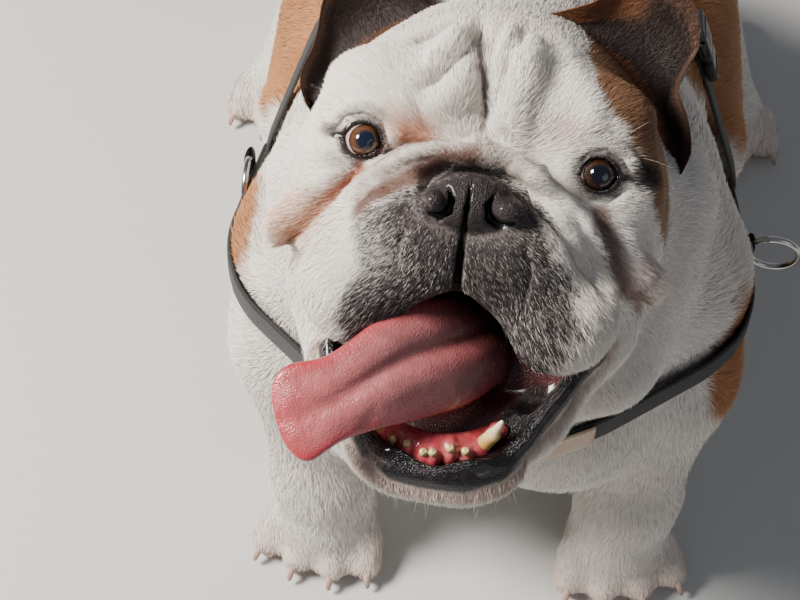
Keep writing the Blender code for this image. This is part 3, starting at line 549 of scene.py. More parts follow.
# Folds on the front of the head: height in millimetres (below zero for a crease), width, and line.
FOLDS = (
    (-5.0, 3.2, (-13, 81), (-6, 50), (-0.5, 27), (1.5, 8)),
    (-3.6, 9.0, (-5, 52), (-2, 34), (0, 16)),
    (2.6, 3.2, (7, 80), (3.2, 60), (3.2, 43), (3.5, 24)),
    (-3.2, 2.4, (14, 75), (11.5, 60), (8.5, 50), (5.5, 38), (5, 24)),
    (5.0, 8.5, (-19, 66), (-26, 54), (-34, 42)),
    (-4.4, 3.6, (-13, 72), (-17, 56), (-26, 42), (-35, 31)),
    (-2.4, 2.4, (-46, 58), (-35, 68), (-22, 75)),
    (3.0, 8.0, (-9, 48), (-15, 34), (-26, 22)),
    (-1.2, 2.6, (-40, 26), (-30, 12), (-14, 7)),
    (5.2, 8.5, (17, 64), (17, 46), (15, 30), (14, 14)),
    (2.2, 8.0, (33, 72), (43, 52), (56, 34), (56, 20)),
    (-4.2, 2.4, *ROPE_TOP),
    (-4.4, 2.6, (66, -17), (72.5, -29), (79, -43), (90, -59), (99, -65)),
    (-5.4, 2.6, (-66, -15), (-76.5, -31), (-89, -46.5), (-99, -60), (-104, -68)),
    (2.2, 5.0, (-32, -7), (-14, -2.5), (2, -1.5), (16, -3.5), (28, -8)),
    (5.0, 6.5, (-82, -26), (-95, -38), (-105, -50), (-106, -58)),
    (2.6, 5.5, (80, -26), (90, -42), (102, -54)),
    (3.4, 5.2, (-70, -38), (-56, -22), (-40, -9), (-20, -2.0), (0, 0.5), (18, -1), (34, -9), (48, -19),
     (60, -28), (71, -42), (82, -57)),
    (-1.6, 1.8, (-50, -23), (-34, -10.5), (-17.5, -4.2), (-1, -4.6)),
    (-4.2, 2.3, *ROPE_FOOT_RIGHT),
    (-4.2, 2.3, *ROPE_FOOT_LEFT, (77, -64)),
    (-1.3, 2.0, (-30, -44), (-34, -56), (-32, -72)),
    (-1.2, 2.2, (32, -44), (38, -60), (36, -78)),
    (-1.6, 1.3, (-82, 3), (-77, 11), (-67, 14.2), (-56, 10.5), (-51, 2)),
    (-1.6, 1.3, (53, 2), (58, 11), (68, 13.4), (78, 9.5), (84, 2)),
    (-1.2, 1.6, (-82, -7), (-71, -14.5), (-58, -14)),
    (-1.2, 1.6, (82, -7), (73, -15), (60, -14)),
    (-1.6, 3.0, (-88, -120), (-74, -150), (-50, -178)),
    (-1.6, 3.0, (84, -118), (72, -148), (50, -176)),
)
FOLD_STRENGTH = 1.42
normals = mesh_normals(skin_points, skin_quads)
on_face = in_face(skin_points)
front = blended_step(-0.30, 0.15, normals @ -FACE_AXES[:, 1]) * (1 - blended_step(48, 75, on_face[:, 1]))
front *= 1 - blended_step(0.5, 1.5, skin_inner * 1000)
rise = np.zeros(len(skin_points))
near = front > 0.01
for height, width, *line in FOLDS:
    gap, where = away_from(on_face[near][:, [0, 2]], line)
    fade = 0.35 + 0.65 * blended_step(0, 0.16, np.minimum(where, 1 - where))
    rise[near] += FOLD_STRENGTH * height * np.exp(-((gap / width) ** (1.4 if height < 0 else 2))) * fade
skin_points = skin_points + normals * (rise * front / 1000)[:, None]

# Ears: small, thin and folded back, each a closed sheet whose root is sunk in the skull. On the face, in
# millimetres, as for the left side.
EAR_LINES = {
    # name: root, rim
    "left": (
        ((24, 84, 84), (52, 88, 79), (78, 92, 65), (94, 95, 46), (101, 97, 28), (104, 99, 10)),
        ((21, 80, 93), (46, 78, 103), (64, 82, 115), (84, 82, 121), (104, 82, 112), (114, 83, 91),
         (109, 86, 76), (106, 88, 62), (114, 88, 46), (119, 92, 28), (116, 98, 14)),
    ),
    "right": (
        ((42, 86, 84), (60, 90, 76), (78, 92, 63), (94, 95, 46), (101, 97, 28), (104, 99, 12)),
        ((44, 82, 95), (58, 80, 105), (74, 80, 111), (90, 82, 109), (103, 83, 98), (110, 84, 84),
         (111, 86, 67), (113, 88, 54), (117, 90, 42), (117, 94, 32), (112, 98, 22)),
    ),
}
EAR_CUP = 9.0
EAR_THICKNESS = 3.0
EAR_ROWS = 50
EAR_COLUMNS = 21
EAR_SUNK = -0.35
ear_start = len(skin_points)
shares = np.linspace(EAR_SUNK, 1.0, EAR_COLUMNS)
out_of_root = np.clip(shares, 0, 1)
along = np.linspace(0, 1, EAR_ROWS)[:, None]
for name, side in SIDES:
    base, rim = [curve_through(line, EAR_ROWS)[:, None, :] for line in EAR_LINES[name]]
    sheet = base + (rim - base) * shares[:, None]
    sheet[..., 1] += EAR_CUP * 4 * out_of_root * (1 - out_of_root)
    sheet[..., 1] += np.sin(along * 19 + shares * 3) * out_of_root
    sheet = sheet * (side, 1, 1)
    flat = unit(np.cross(np.gradient(sheet, axis=1), np.gradient(sheet, axis=0)) * side)
    thin = EAR_THICKNESS * np.sqrt(np.clip(1 - out_of_root**5, 0.02, 1))
    thin = (thin * np.sqrt(np.clip(1 - (2 * along - 1) ** 12, 0.04, 1)))[..., None]
    both = out_of_face(np.stack([sheet + flat * thin / 2, sheet - flat * thin / 2]).reshape(-1, 3))
    upper, under = np.arange(2 * EAR_ROWS * EAR_COLUMNS).reshape(2, EAR_ROWS, EAR_COLUMNS) + len(skin_points)
    strips = [
        (upper[:-1, :-1], upper[1:, :-1], upper[1:, 1:], upper[:-1, 1:]),
        (under[:-1, 1:], under[1:, 1:], under[1:, :-1], under[:-1, :-1]),
        (under[0, :-1], under[0, 1:], upper[0, 1:], upper[0, :-1]),
        (upper[-1, :-1], upper[-1, 1:], under[-1, 1:], under[-1, :-1]),
        (under[:-1, -1], under[1:, -1], upper[1:, -1], upper[:-1, -1]),
    ]
    faces = np.concatenate([np.stack(strip, axis=-1).reshape(-1, 4) for strip in strips])
    skin_points = np.vstack([skin_points, both])
    skin_quads = np.vstack([skin_quads, faces[:, ::-1] if side > 0 else faces])
on_ear = np.arange(len(skin_points)) >= ear_start
skin_inner = np.concatenate([skin_inner, np.full(on_ear.sum(), -0.01)])
ear_share = np.zeros(len(skin_points))
ear_share[on_ear] = np.tile(shares + 0.36, 4 * EAR_ROWS)


def fitted(name, mesh, slot, *nodes):
    """A finished piece put on the dog in place of the solids named."""
    piece = bpy.data.objects.new(name, mesh)
    bpy.context.scene.collection.objects.link(piece)
    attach(piece, "root")
    if nodes:
        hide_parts(*nodes)
    return piece


def built(name, points, faces):
    """A smooth-shaded mesh."""
    mesh = bpy.data.meshes.new(name)
    mesh.from_pydata(np.asarray(points).tolist(), [], faces)
    mesh.shade_smooth()
    return mesh


flesh_nodes = ["head", "lower_jaw", "neck", "chest", "loin", "tail"]
for name, _ in SIDES:
    flesh_nodes += [part + name for part in ("foreleg_", "forepaw_", "thigh_", "hind_paw_", "ear_")]
skin_mesh = built("skin", skin_points, skin_quads.tolist())
skin = fitted("skin", skin_mesh, "white_coat", *flesh_nodes)

# The skin's own unwrap, which the coat's tufts share.
bpy.context.view_layer.objects.active = skin
skin.select_set(True)
skin_mesh.uv_layers.new(name="OFBake")
bpy.ops.object.mode_set(mode="EDIT")
bpy.ops.mesh.select_all(action="SELECT")
bpy.ops.uv.smart_project(angle_limit=1.15, island_margin=0.002, scale_to_bounds=True)
bpy.ops.object.mode_set(mode="OBJECT")
skin.select_set(False)
skin_uvs = np.zeros(len(skin_mesh.loops) * 2)
skin_mesh.uv_layers["OFBake"].uv.foreach_get("vector", skin_uvs)
skin_uvs = skin_uvs.reshape(-1, 4, 2)

# Markings: white, with tan on the flanks, shoulders and left temple, a dark muzzle, and stains in the folds.


def tint(red, green, blue):
    """A colour given by its values from 0 to 255 on a screen, as light."""
    values = np.array((red, green, blue)) / 255
    return np.where(values <= 0.04045, values / 12.92, ((values + 0.055) / 1.055) ** 2.4)


def mottle(points, size, seed):
    """Smooth noise between -1 and 1, with lumps of about the size given."""
    table = np.random.default_rng(seed).uniform(-1, 1, (32, 32, 32))
    spots = points / size
    whole = np.floor(spots).astype(int)
    share = spots - whole
    return at_corners(table, whole, share * share * (3 - 2 * share))


def spot(points, centre, radii, edge=0.3, rough=0.0):
    """One inside an ellipsoid, falling to nothing over its edge."""
    near = np.linalg.norm((points - np.array(centre)) / np.array(radii), axis=1) + rough
    return 1 - blended_step(1 - edge, 1 + edge, near)


def band(points, line, width, edge=1.5):
    """One near a line across and up the face, falling to nothing past its width."""
    return 1 - blended_step(width - edge, width + edge, away_from(points[:, [0, 2]], line)[0])


def across_line(value, line):
    """The second number of a line's points where its first has the value."""
    return np.interp(value, [p[0] for p in line], [p[1] for p in line])


def lay(colour, *layers):
    """A colour under others, each laid on by its own mask."""
    for mask, tone in layers:
        colour = colour + (tone - colour) * mask[:, None]
    return colour


WHITE = tint(238, 231, 223)
CREAM = tint(228, 214, 198)
TAN = tint(190, 136, 92)
DEEP_TAN = tint(150, 92, 56)
UMBER = tint(104, 64, 48)
SOOT = tint(40, 33, 34)
PEPPER = tint(98, 90, 90)
EAR_BROWN = tint(38, 28, 26)
EAR_RIM = tint(92, 66, 54)
BLUSH = tint(214, 172, 156)
# Edges of the markings on the head: how far from its middle, height by height.
TEMPLE_EDGE = (
    (-60, 125), (-40, 114), (-20, 101), (-5, 92), (10, 86), (28, 72), (40, 61), (60, 51), (77, 49), (95, 45),
    (110, 36),
)
FAR_EDGE = ((-30, 126), (10, 115), (20, 112), (40, 106), (60, 97), (77, 81), (95, 44), (110, 32))
SOOT_RIGHT = (
    (-112, 54), (-100, 62), (-86, 61), (-78, 56), (-67, 52), (-56, 56), (-48, 58), (-37, 49), (-26, 34),
    (-12, 18),
)
SOOT_LEFT = (
    (-112, 54), (-97, 63), (-85, 66), (-71, 63), (-58, 56), (-45, 47), (-38, 43), (-25, 40), (-12, 20),
)
ROPE_FOOT = (*ROPE_FOOT_RIGHT, (0, -7), *ROPE_FOOT_LEFT)


def body_markings(points):
    """White hair, and the tan patches of the body with ragged edges."""
    x, y, z = points.T
    fine = points * 1000
    face = in_face(points)
    off_head = 1 - blended_step(150, 120, face[:, 1]) * blended_step(-215, -195, face[:, 2])
    unevenness = 1 + 0.05 * mottle(face, 22, 3) + 0.03 * mottle(face, 5, 4)
    white = np.tile(WHITE, (len(points), 1)) * unevenness[:, None]
    ragged = 0.020 * mottle(fine, 42, 6) + 0.006 * mottle(fine, 11, 7)
    haunch = blended_step(-0.010, 0.010, y - 0.055 + 0.35 * (z - 0.16) + ragged)
    haunch *= blended_step(-0.008, 0.008, np.abs(x) - 0.050 + ragged)
    haunch *= blended_step(-0.010, 0.010, z - 0.085 + ragged)
    shoulder_left = spot(points, (0.168, -0.130, 0.212), (0.040, 0.050, 0.062), 0.12, ragged * 14)
    shoulder_right = spot(points, (-0.175, -0.105, 0.270), (0.036, 0.045, 0.070), 0.12, ragged * 14)
    rump = spot(points, (0.02, 0.30, 0.11), (0.07, 0.09, 0.10), 0.1, ragged * 8)
    fawn = np.maximum.reduce([haunch, shoulder_left, shoulder_right, rump])
    return lay(
        white,
        (0.35 * blended_step(-0.2, 0.8, mottle(fine, 60, 5)), CREAM),
        (fawn * off_head, TAN + (DEEP_TAN - TAN) * (0.30 + 0.30 * mottle(fine, 35, 8))[:, None]),
        (0.35 * blended_step(0.05, 0.0, z) * off_head, BLUSH),
    )


def markings(points):
    """Colour of the hair over each point, and how much of it is dark among pale."""
    face = in_face(points)
    x, y, z = face.T
    rough = 2.6 * mottle(face, 8, 1) + 1.4 * mottle(face, 2.6, 2)
    on_head = blended_step(150, 120, y) * blended_step(-215, -195, z)
    front_of_head = on_head * blended_step(60, 40, y)

    def stain(strength, centre, radii, edge=0.6, ragged=0.05):
        return strength * spot(face, centre, radii, edge, ragged * rough)

    # tan round the ears, wide on the dog's left temple, where it is duller and greyer than the body's tan:
    # partly its own colour, partly painted shade
    temple = blended_step(-2, 2, x - across_line(z, TEMPLE_EDGE) + rough) * blended_step(-44, -30, z + rough)
    far = blended_step(-2, 2, -x - across_line(z, FAR_EDGE) + rough) * blended_step(-20, 0, z + rough)
    limit = 70 + 34 * blended_step(25, 70, z)
    behind = blended_step(limit + 20, limit, y + 2 * rough)
    paler = np.clip(0.10 + 0.45 * blended_step(80, 105, x) + 0.25 * mottle(face, 9, 9), 0, 1)[:, None]
    # the rope: pale crest with brown hairs, brown underside on the dog's right
    rope = blended_step(-1, 1.5, across_line(x, ROPE_TOP) - z)
    rope *= blended_step(-1, 1.5, z - across_line(x, ROPE_FOOT))
    rope *= front_of_head * blended_step(66, 58, np.abs(x))
    streaks = blended_step(-0.1, 0.6, mottle(face * (1, 1, 1.6), 2.4, 21)) * blended_step(10, -12, x)
    under = band(face, ((-58, -38), (-46, -27), (-34, -18), (-20, -8.5), (-2, -3)), 5.0, 2.5)
    # cheek folds
    right_fold = band(face, ((-64, -16), (-76, -31), (-89, -47), (-103, -65)), 3.0, 2.6) * front_of_head
    left_fold = band(face, ((68, -20), (73, -30), (79, -43), (90, -59), (99, -66)), 4.0, 3.0) * front_of_head
    pouch = stain(0.75, (-98, 20, -46), (19, 34, 17), 0.5, 0.04) * blended_step(64, 44, y) * on_head
    # dark round the eyes, widest outside the left one
    rims = []
    for _, side in SIDES:
        gap = np.linalg.norm((face - (side * EYE[0], 3, 0)) / (1.16, 1.6, 1.0), axis=1)
        rims.append((blended_step(17.0 if side > 0 else 12.8, 10.6, gap + 0.3 * rough) * 0.95, SOOT))
    lip_gap = away_from(face, LOWER_LIP)[0]
    colour = lay(
        body_markings(points),
        # the temple's dull grey-brown tan, partly painted shade
        (temple * behind * on_head, tint(124, 90, 68) + (TAN - DEEP_TAN) * paler),
        (far * behind * on_head * 0.9, TAN),
        # painted shade down the deep furrow in the middle of the forehead
        (band(face, ((-6, 50), (-0.5, 27), (1.5, 10)), 3.0, 3.0) * front_of_head * 0.5, tint(132, 116, 110)),
        (rope * 0.36 * blended_step(40, -5, x), tint(176, 158, 146)),
        (rope * streaks * 0.55, tint(140, 104, 84)),
        (under * rope * 0.85, UMBER),
        (band(face, ((-2, -3), (16, -5)), 4, 3) * rope * 0.3, tint(120, 96, 84)),
        (stain(0.60, (-41, 0, 10), (16, 18, 9)), tint(206, 156, 126)),
        (stain(0.60, (-35, 0, 6), (12, 16, 5)), tint(192, 110, 66)),
        (stain(0.40, (-66, 2, 13), (14, 12, 4.5)), PEPPER),
        (stain(0.45, (42, 0, 18), (11, 16, 8)), tint(190, 150, 136)),
        (right_fold * 0.95, tint(172, 94, 60)),
        (right_fold * blended_step(-42, -60, z) * 0.7, UMBER),
        (pouch, tint(228, 184, 158)),
        (left_fold * 0.8, tint(112, 72, 60)),
        (stain(0.5, (98, 16, -52), (14, 26, 14), 0.5, 0) * front_of_head, tint(200, 168, 156)),
        *rims,
        (stain(0.92, (89, 12, 3.5), (12, 18, 8), 0.45), SOOT),
        (stain(0.5, (68, 2, 15), (15, 12, 5)), PEPPER),
        (stain(0.75, (-83, 6, 2), (5.5, 12, 4), 0.5, 0), SOOT),
        (stain(0.45, (-76, 4, -13), (9, 12, 4), 0.6, 0), PEPPER),
        (blended_step(18, 9, lip_gap + rough) * 0.55, tint(168, 128, 108)),
    )
    # the dark muzzle, peppered with pale hairs
    edge = np.where(x < 0, x + across_line(z, SOOT_RIGHT), across_line(z, SOOT_LEFT) - x) + 1.6 * rough
    dark = blended_step(-6, 9, edge) * blended_step(1.5, -1.5, z - across_line(x, ROPE_FOOT))
    dark *= blended_step(-114, -108, z) * front_of_head * (1 - blended_step(26, 40, y))
    by_nose = spot(face, (0, -45, -28), (44, 30, 28), 0.5)
    thin = spot(face, (-46, -34, -62), (18, 20, 17), 0.6)
    return colour, dark * (0.84 + 0.16 * by_nose - 0.36 * thin)


def bare_skin(face, inner):
    """Where no hair grows: nose leather, lid edges, lips, the inside of mouth and nostrils, and the slit."""
    x, y, z = face.T
    ragged = 0.06 * mottle(face, 2.2, 71)
    nose = spot(face, (1.2, -47, -28.4), (26.6, 26, 15.2), 0.16, 2.4 * ragged) * blended_step(-27, -31, y)
    cut = blended_step(0.2, 0.9, inner)
    lids = np.zeros(len(face))
    for _, side in SIDES:
        ball = np.linalg.norm(face - EYE * (side, 1, 1), axis=1)
        gap = np.linalg.norm((face - (side * 66.6, 0, 0)) / (11.8, 60, 10.4), axis=1)
        lids = np.maximum(lids, blended_step(1.10, 0.97, gap) * (ball < 17))
        lids = np.maximum(lids, spot(face, (side * 79.5, 5, 0.6), (5.5, 16, 2.4), 0.4))
    lip_gap = away_from(face, LOWER_LIP)[0]
    behind_lip = blended_step(-1, 2, z - across_line(x, [(p[0], p[2]) for p in LOWER_LIP]))
    behind_lip *= blended_step(-118, -124, z) * blended_step(26, 20, lip_gap)
    lip = np.maximum(blended_step(7.6, 5.8, lip_gap), behind_lip)
    off_middle = np.abs(x + 0.5)
    slit = blended_step(2.6, 1.9, off_middle - 0.02 * np.maximum(-34 - z, 0))
    slit *= (z < -21) & (z > -80) & (y < -14)
    slit = slit * np.maximum(blended_step(0.1, 0.5, inner), blended_step(1.6, 0.8, off_middle))
    return nose, lids, lip, cut * (1 - slit), slit


KINDS = {1: ("FLOAT", "value"), 3: ("FLOAT_VECTOR", "vector"), 4: ("FLOAT_COLOR", "color")}


def store(mesh, name, values):
    """A number, vector or colour kept at each corner of a mesh, for its material."""
    kind, field = KINDS[values.shape[1] if values.ndim == 2 else 1]
    mesh.attributes.new(name, kind, "POINT").data.foreach_set(field, values.ravel())


def store_tone(mesh, tone):
    store(mesh, "tone", np.clip(np.concatenate([tone, np.ones((len(tone), 1))], axis=1), 0, 1))


face = in_face(skin_points)
inner = skin_inner * 1000
nose, lids, lip, cut, slit = bare_skin(face, inner)
bare = np.maximum.reduce([nose, lids, lip, cut, slit])
coat_tone, peppered = markings(skin_points)
ear_brown = EAR_BROWN + (EAR_RIM - EAR_BROWN) * blended_step(1.16, 1.33, ear_share)[:, None] * 0.8
front_lobe = on_ear * (skin_points[:, 0] > 0) * spot(face, (38, 84, 106), (38, 40, 22), 0.3)
front_lobe *= blended_step(0.80, 1.02, ear_share) * blended_step(90, 94, face[:, 2])
ear_tone = lay(
    ear_brown, (front_lobe, tint(136, 90, 62)), (on_ear * blended_step(0.42, 0.30, ear_share), DEEP_TAN * 0.8)
)
# how far into the head a point lies, which darkens the lining of the openings as painted shade
deep = blended_step(-60, 30, face[:, 1])
upper_lip = cut * spot(face, (0, -20, -88), (70, 40, 20), 0.2) * blended_step(2.8, 0.8, inner)
tone = lay(
    coat_tone * 0.86,
    (peppered * 0.9, tint(60, 48, 50)),
    (peppered * 0.5 * spot(face, (-34, -30, -66), (20, 30, 22), 0.5), tint(128, 84, 88)),
)
tone = lay(
    np.where(on_ear[:, None], ear_tone, tone),
    # the lining of the mouth and nostrils, darker further in as painted shade of the recess
    (cut * deep, tint(70, 22, 24)),
    (cut * (1 - deep), tint(108, 48, 50)),
    (nose, tint(38, 31, 31)),
    # the slit's dark skin painted near-black, deepened as painted shade of the cleft
    (slit, tint(20, 14, 14)),
    (slit * blended_step(-75, -79, face[:, 2]), tint(150, 90, 86)),
    (lip, tint(16, 11, 13)),
    (lip * blended_step(0.1, 0.6, mottle(face, 6, 72)) * 0.35, tint(54, 38, 46)),
    (lids, tint(18, 12, 12)),
    # inside the nostrils, painted near-black as painted shade
    (cut * spot(face, (0, -50, -30), (32, 24, 14), 0.1), tint(16, 12, 12)),
    (upper_lip, tint(46, 34, 36)),
)
store_tone(skin_mesh, tone)
store(skin_mesh, "bare", bare)
store(skin_mesh, "wet", np.maximum.reduce([cut * 0.9, lip * 0.95, lids * 0.5, nose * 0.3, slit * 0.05]))


def makers(tree):
    """Short ways to add a node to a tree, linked to what feeds it, and to add a sum."""

    def add(kind, out=0, **feeds):
        node = tree.nodes.new("ShaderNode" + kind)
        for key, value in feeds.items():
            if hasattr(node, key):
                setattr(node, key, value)
                continue
            socket = node.inputs[int(key[1:]) if key[1:].isdigit() else key]
            if isinstance(value, bpy.types.NodeSocket):
                tree.links.new(value, socket)
            else:
                socket.default_value = value
        return node.outputs[out]

    def sums(kind, *values):
        return add("Math", operation=kind, **{"i" + str(k): value for k, value in enumerate(values)})

    return add, sums


def mixed(add, share, first, second):
    """A colour between two."""
    first, second = [(*value, 1) if isinstance(value, tuple) else value for value in (first, second)]
    return add("Mix", 2, data_type="RGBA", i0=share, i6=first, i7=second)


def new_material(name, **constants):
    """A new material with constants set on its shader, and short ways to add to it and to feed the shader."""
    material = bpy.data.materials.new(name)
    material.use_nodes = True
    tree = material.node_tree
    sockets = tree.nodes["Principled BSDF"].inputs
    for key, value in constants.items():
        sockets[key.replace("_", " ")].default_value = value
    add, sums = makers(tree)

    def feed(**sources):
        for key, source in sources.items():
            tree.links.new(source, sockets[key.replace("_", " ")])

    return material, add, sums, feed


def scaled(add, tone, shade):
    """A colour made lighter or darker."""
    return add("VectorMath", operation="SCALE", i0=tone, Scale=shade)


skin_stuff, add, sums, feed = new_material("skin", Coat_Roughness=0.08, Specular_IOR_Level=0.3)
place = add("TexCoord", 3)
tone_node = add("Attribute", attribute_name="tone")
bare_node = add("Attribute", 2, attribute_name="bare")
wet_node = add("Attribute", 2, attribute_name="wet")
grain = add("TexNoise", Vector=place, Scale=420.0, Detail=4.0)
blotch = add("TexNoise", Vector=place, Scale=60.0, Detail=3.0)
shade = sums("ADD", sums("MULTIPLY_ADD", grain, 0.35, sums("MULTIPLY", blotch, 0.35)), 0.65)
pebbles = add("TexVoronoi", Vector=place, Scale=1050.0)
relief = sums("ADD", sums("MULTIPLY", pebbles, sums("ADD", bare_node, 0.15)), grain)
feed(
    Base_Color=scaled(add, tone_node, shade),
    Normal=add("Bump", Strength=0.70, Distance=0.0008, Height=relief),
    Roughness=add("MapRange", Value=wet_node, i3=0.72, i4=0.2),
    Coat_Weight=sums("MULTIPLY", wet_node, 0.6),
)
skin_mesh.materials.append(skin_stuff)

# ---------------------------------------------------------------- coat
# Short hair in flat-lying locks, each a thin tapering blade rooted in the skin. Its direction follows the lie
# of a bulldog's coat: away from the nose on the head, and back and down over the body and legs.

LOCK_PATCH = 0.003


def lie_of_coat(points, normals):
    """Which way the hair lies at each point of the skin."""
    face = in_face(points)
    x, y, z = np.abs(points[:, :1]), points[:, 1:2], points[:, 2:]
    on_head = unit((face - (0, -30, -16)) * (1, 1, 1.15)) @ FACE_AXES.T
    chin = np.stack([face[:, 0] / 240, np.full(len(face), 0.5), -np.ones(len(face))], axis=1)
    chin = unit(chin) @ FACE_AXES.T
    down = np.array((0.0, 0.05, -1.0))
    flow = np.tile(np.array((0.0, 0.9, -0.55)), (len(points), 1))
    legs = blended_step(0.17, 0.10, z) * blended_step(0.06, 0.09, x) * (y < 0.03)
    flow += (down - flow) * np.maximum(blended_step(-0.13, -0.19, y), legs)
    haunch = blended_step(0.03, 0.07, y) * blended_step(0.05, 0.09, x) * 0.8
    flow += (np.array((0.0, 0.35, -0.9)) - flow) * haunch
    flow += (np.array((0.0, -0.9, -0.5)) - flow) * blended_step(0.050, 0.030, z)
    on_head += (chin - on_head) * blended_step(-112, -135, face[:, 2:])
    flow += (on_head - flow) * blended_step(150, 105, face[:, 1:2]) * blended_step(-235, -200, face[:, 2:])
    swirl = np.stack([mottle(points * 1000, 16, 40 + i) for i in range(3)], axis=1)
    flow = unit(flow) + 0.28 * swirl
    return unit(flow - normals * (flow * normals).sum(axis=1, keepdims=True))


def coat_piece(name, weights, count, length, width, lift, seed, shades=None):
    """One mesh of locks on the faces chosen by weight, with lengths and widths in millimetres."""
    chance = np.random.default_rng(seed)
    share = np.cumsum(weights * skin_areas)
    picks = np.searchsorted(share, chance.random(count) * share[-1])
    a, b = chance.random((2, count, 1))
    mix = np.stack([(1 - a) * (1 - b), a * (1 - b), a * b, (1 - a) * b], axis=1)
    corners = skin_quads[picks]
    roots = (skin_points[corners] * mix).sum(axis=1)
    normal = unit((skin_normals[corners] * mix).sum(axis=1))
    place = (skin_uvs[picks] * mix).sum(axis=1)
    face = in_face(roots)
    flow = lie_of_coat(roots, normal)
    long = (length(face, roots) * (0.75 + 0.5 * chance.random(count)) / 1000)[:, None]
    wide = width * (0.7 + 0.6 * chance.random(count)) / 1000
    rise = long * (lift(face, roots) * (0.35 + 1.1 * chance.random(count) ** 1.6))[:, None]
    flow = unit(flow + np.cross(normal, flow) * ((chance.random(count) - 0.5) * 0.55)[:, None])
    side = unit(np.cross(normal, flow))
    side = unit(side + normal * ((chance.random(count) - 0.5) * 0.9)[:, None])
    start = roots - normal * 0.0003
    middle = start + flow * long * 0.42 + normal * (rise * 0.62 + 0.0003)
    tip = start + flow * long + normal * rise * 0.92
    half = side * (wide / 2)[:, None]
    corners = np.stack([start, middle + half, tip, middle - half], axis=1)
    corners[..., 2] = np.maximum(corners[..., 2], 0.0003)
    tone, dark = markings(roots + chance.normal(0, 0.0009, roots.shape))
    pick = chance.random(count) < 0.96 * dark**0.8
    soot = SOOT + (PEPPER - SOOT) * (chance.random((count, 1)) ** 2.2)
    tone = np.where(pick[:, None], soot, tone)
    pale = ((dark > 0.25) & ~pick)[:, None]
    tone = np.where(pale, tone * (0.50 + 0.28 * chance.random((count, 1))), tone)
    shadow = 0.55 * spot(face, (19, -42, -58), (22, 26, 22), 0.5)
    shadow += 0.35 * spot(face, (60, -22, -84), (14, 24, 16), 0.5)
    tone = tone * (1 - shadow * (dark > 0.25))[:, None]
    if shades is not None:
        tone = shades[picks]
    tone = tone * (0.88 + 0.22 * chance.random((count, 1)))
    patch = np.array(((0, -0.5), (0.18, 0.0), (0, 0.5), (-0.18, 0.0))) * LOCK_PATCH
    uvs = np.clip(place[:, None, :] + patch, 0, 1)

    mesh = bpy.data.meshes.new(name)
    mesh.vertices.add(4 * count)
    mesh.vertices.foreach_set("co", corners.ravel())
    faces = (4 * np.arange(count)[:, None] + (0, 1, 3, 3, 1, 2)).ravel()
    mesh.loops.add(faces.size)
    mesh.loops.foreach_set("vertex_index", faces)
    mesh.polygons.add(2 * count)
    mesh.polygons.foreach_set("loop_start", np.arange(0, faces.size, 3))
    mesh.update(calc_edges=True)
    mesh.uv_layers.new(name="OFBake").uv.foreach_set("vector", uvs.reshape(-1, 2)[faces].ravel())
    store_tone(mesh, np.stack([tone * 0.80, tone * 0.97, tone * 1.06, tone * 0.97], axis=1).reshape(-1, 3))
    mesh.materials.append(coat_stuff)
    fitted(name, mesh, "white_coat")


coat_stuff, add, sums, feed = new_material("coat", Specular_IOR_Level=0.22)
strand = add("TexNoise", Vector=add("TexCoord", 3), Scale=900.0, Detail=2.0)
tone_node = add("Attribute", attribute_name="tone")
feed(
    Base_Color=scaled(add, tone_node, sums("MULTIPLY_ADD", strand, 0.30, 0.85)),
    Roughness=sums("MULTIPLY_ADD", strand, 0.2, 0.48),
    Normal=add("Bump", Strength=0.25, Distance=0.0002, Height=strand),
)

# The skin's share of each piece of the coat.
skin_normals = mesh_normals(skin_points, skin_quads)
ring = skin_points[skin_quads]
skin_areas = np.linalg.norm(np.cross(ring[:, 2] - ring[:, 0], ring[:, 3] - ring[:, 1]), axis=1) / 2
middles = ring.mean(axis=1)
face = in_face(middles)
hairy = 1 - blended_step(0.25, 0.6, bare[skin_quads].mean(axis=1))
hairy *= middles[:, 2] > 0.0015
ear_face = skin_quads[:, 0] >= ear_start
head_share = blended_step(152, 128, face[:, 1]) * blended_step(-225, -205, face[:, 2]) * ~ear_face
in_front = blended_step(54, 46, face[:, 1])
muzzle = head_share * in_front * (face[:, 2] < 7) * (face[:, 2] > -118) * (np.abs(face[:, 0]) < 66)
brow = head_share * in_front * ~(muzzle > 0) * (face[:, 2] > -26)
chin = head_share * (face[:, 2] < -112) * ~(muzzle > 0)
cheeks = head_share * ~(muzzle > 0) * ~(brow > 0) * ~(chin > 0)
rest = hairy * ~ear_face * (1 - head_share)
fore = rest * (middles[:, 1] < -0.085) * (middles[:, 2] < 0.20) * (np.abs(middles[:, 0]) > 0.045)
hind = rest * (middles[:, 1] > 0.060) * (middles[:, 2] < 0.235) * (np.abs(middles[:, 0]) > 0.075)
trunk = rest * ~(fore > 0) * ~(hind > 0)


def near_eyes(face):
    gaps = [np.linalg.norm(face - np.array((side * EYE[0], 6, 0)), axis=1) for _, side in SIDES]
    return blended_step(27, 14, np.minimum(*gaps))


def muzzle_length(face, roots):
    flews = blended_step(-60, -105, face[:, 2])
    nose_edge = spot(face, (0, -45, -26), (38, 30, 26), 0.4)
    return 4.2 + 1.8 * flews - 2.2 * nose_edge - 1.6 * near_eyes(face)


def brow_length(face, roots):
    return 7.0 - 3.6 * near_eyes(face)


def face_lift(face, roots):
    lips = spot(face, (0, -10, -108), (80, 60, 16), 0.5)
    brow = blended_step(-10, 20, face[:, 2]) * blended_step(50, 20, np.abs(face[:, 0]))
    return 0.20 + 0.16 * lips + 0.10 * brow


def body_length(face, roots):
    return 12.0 - 6.0 * blended_step(0.09, 0.03, roots[:, 2])


def even(value):
    return lambda face, roots: np.full(len(face), value)


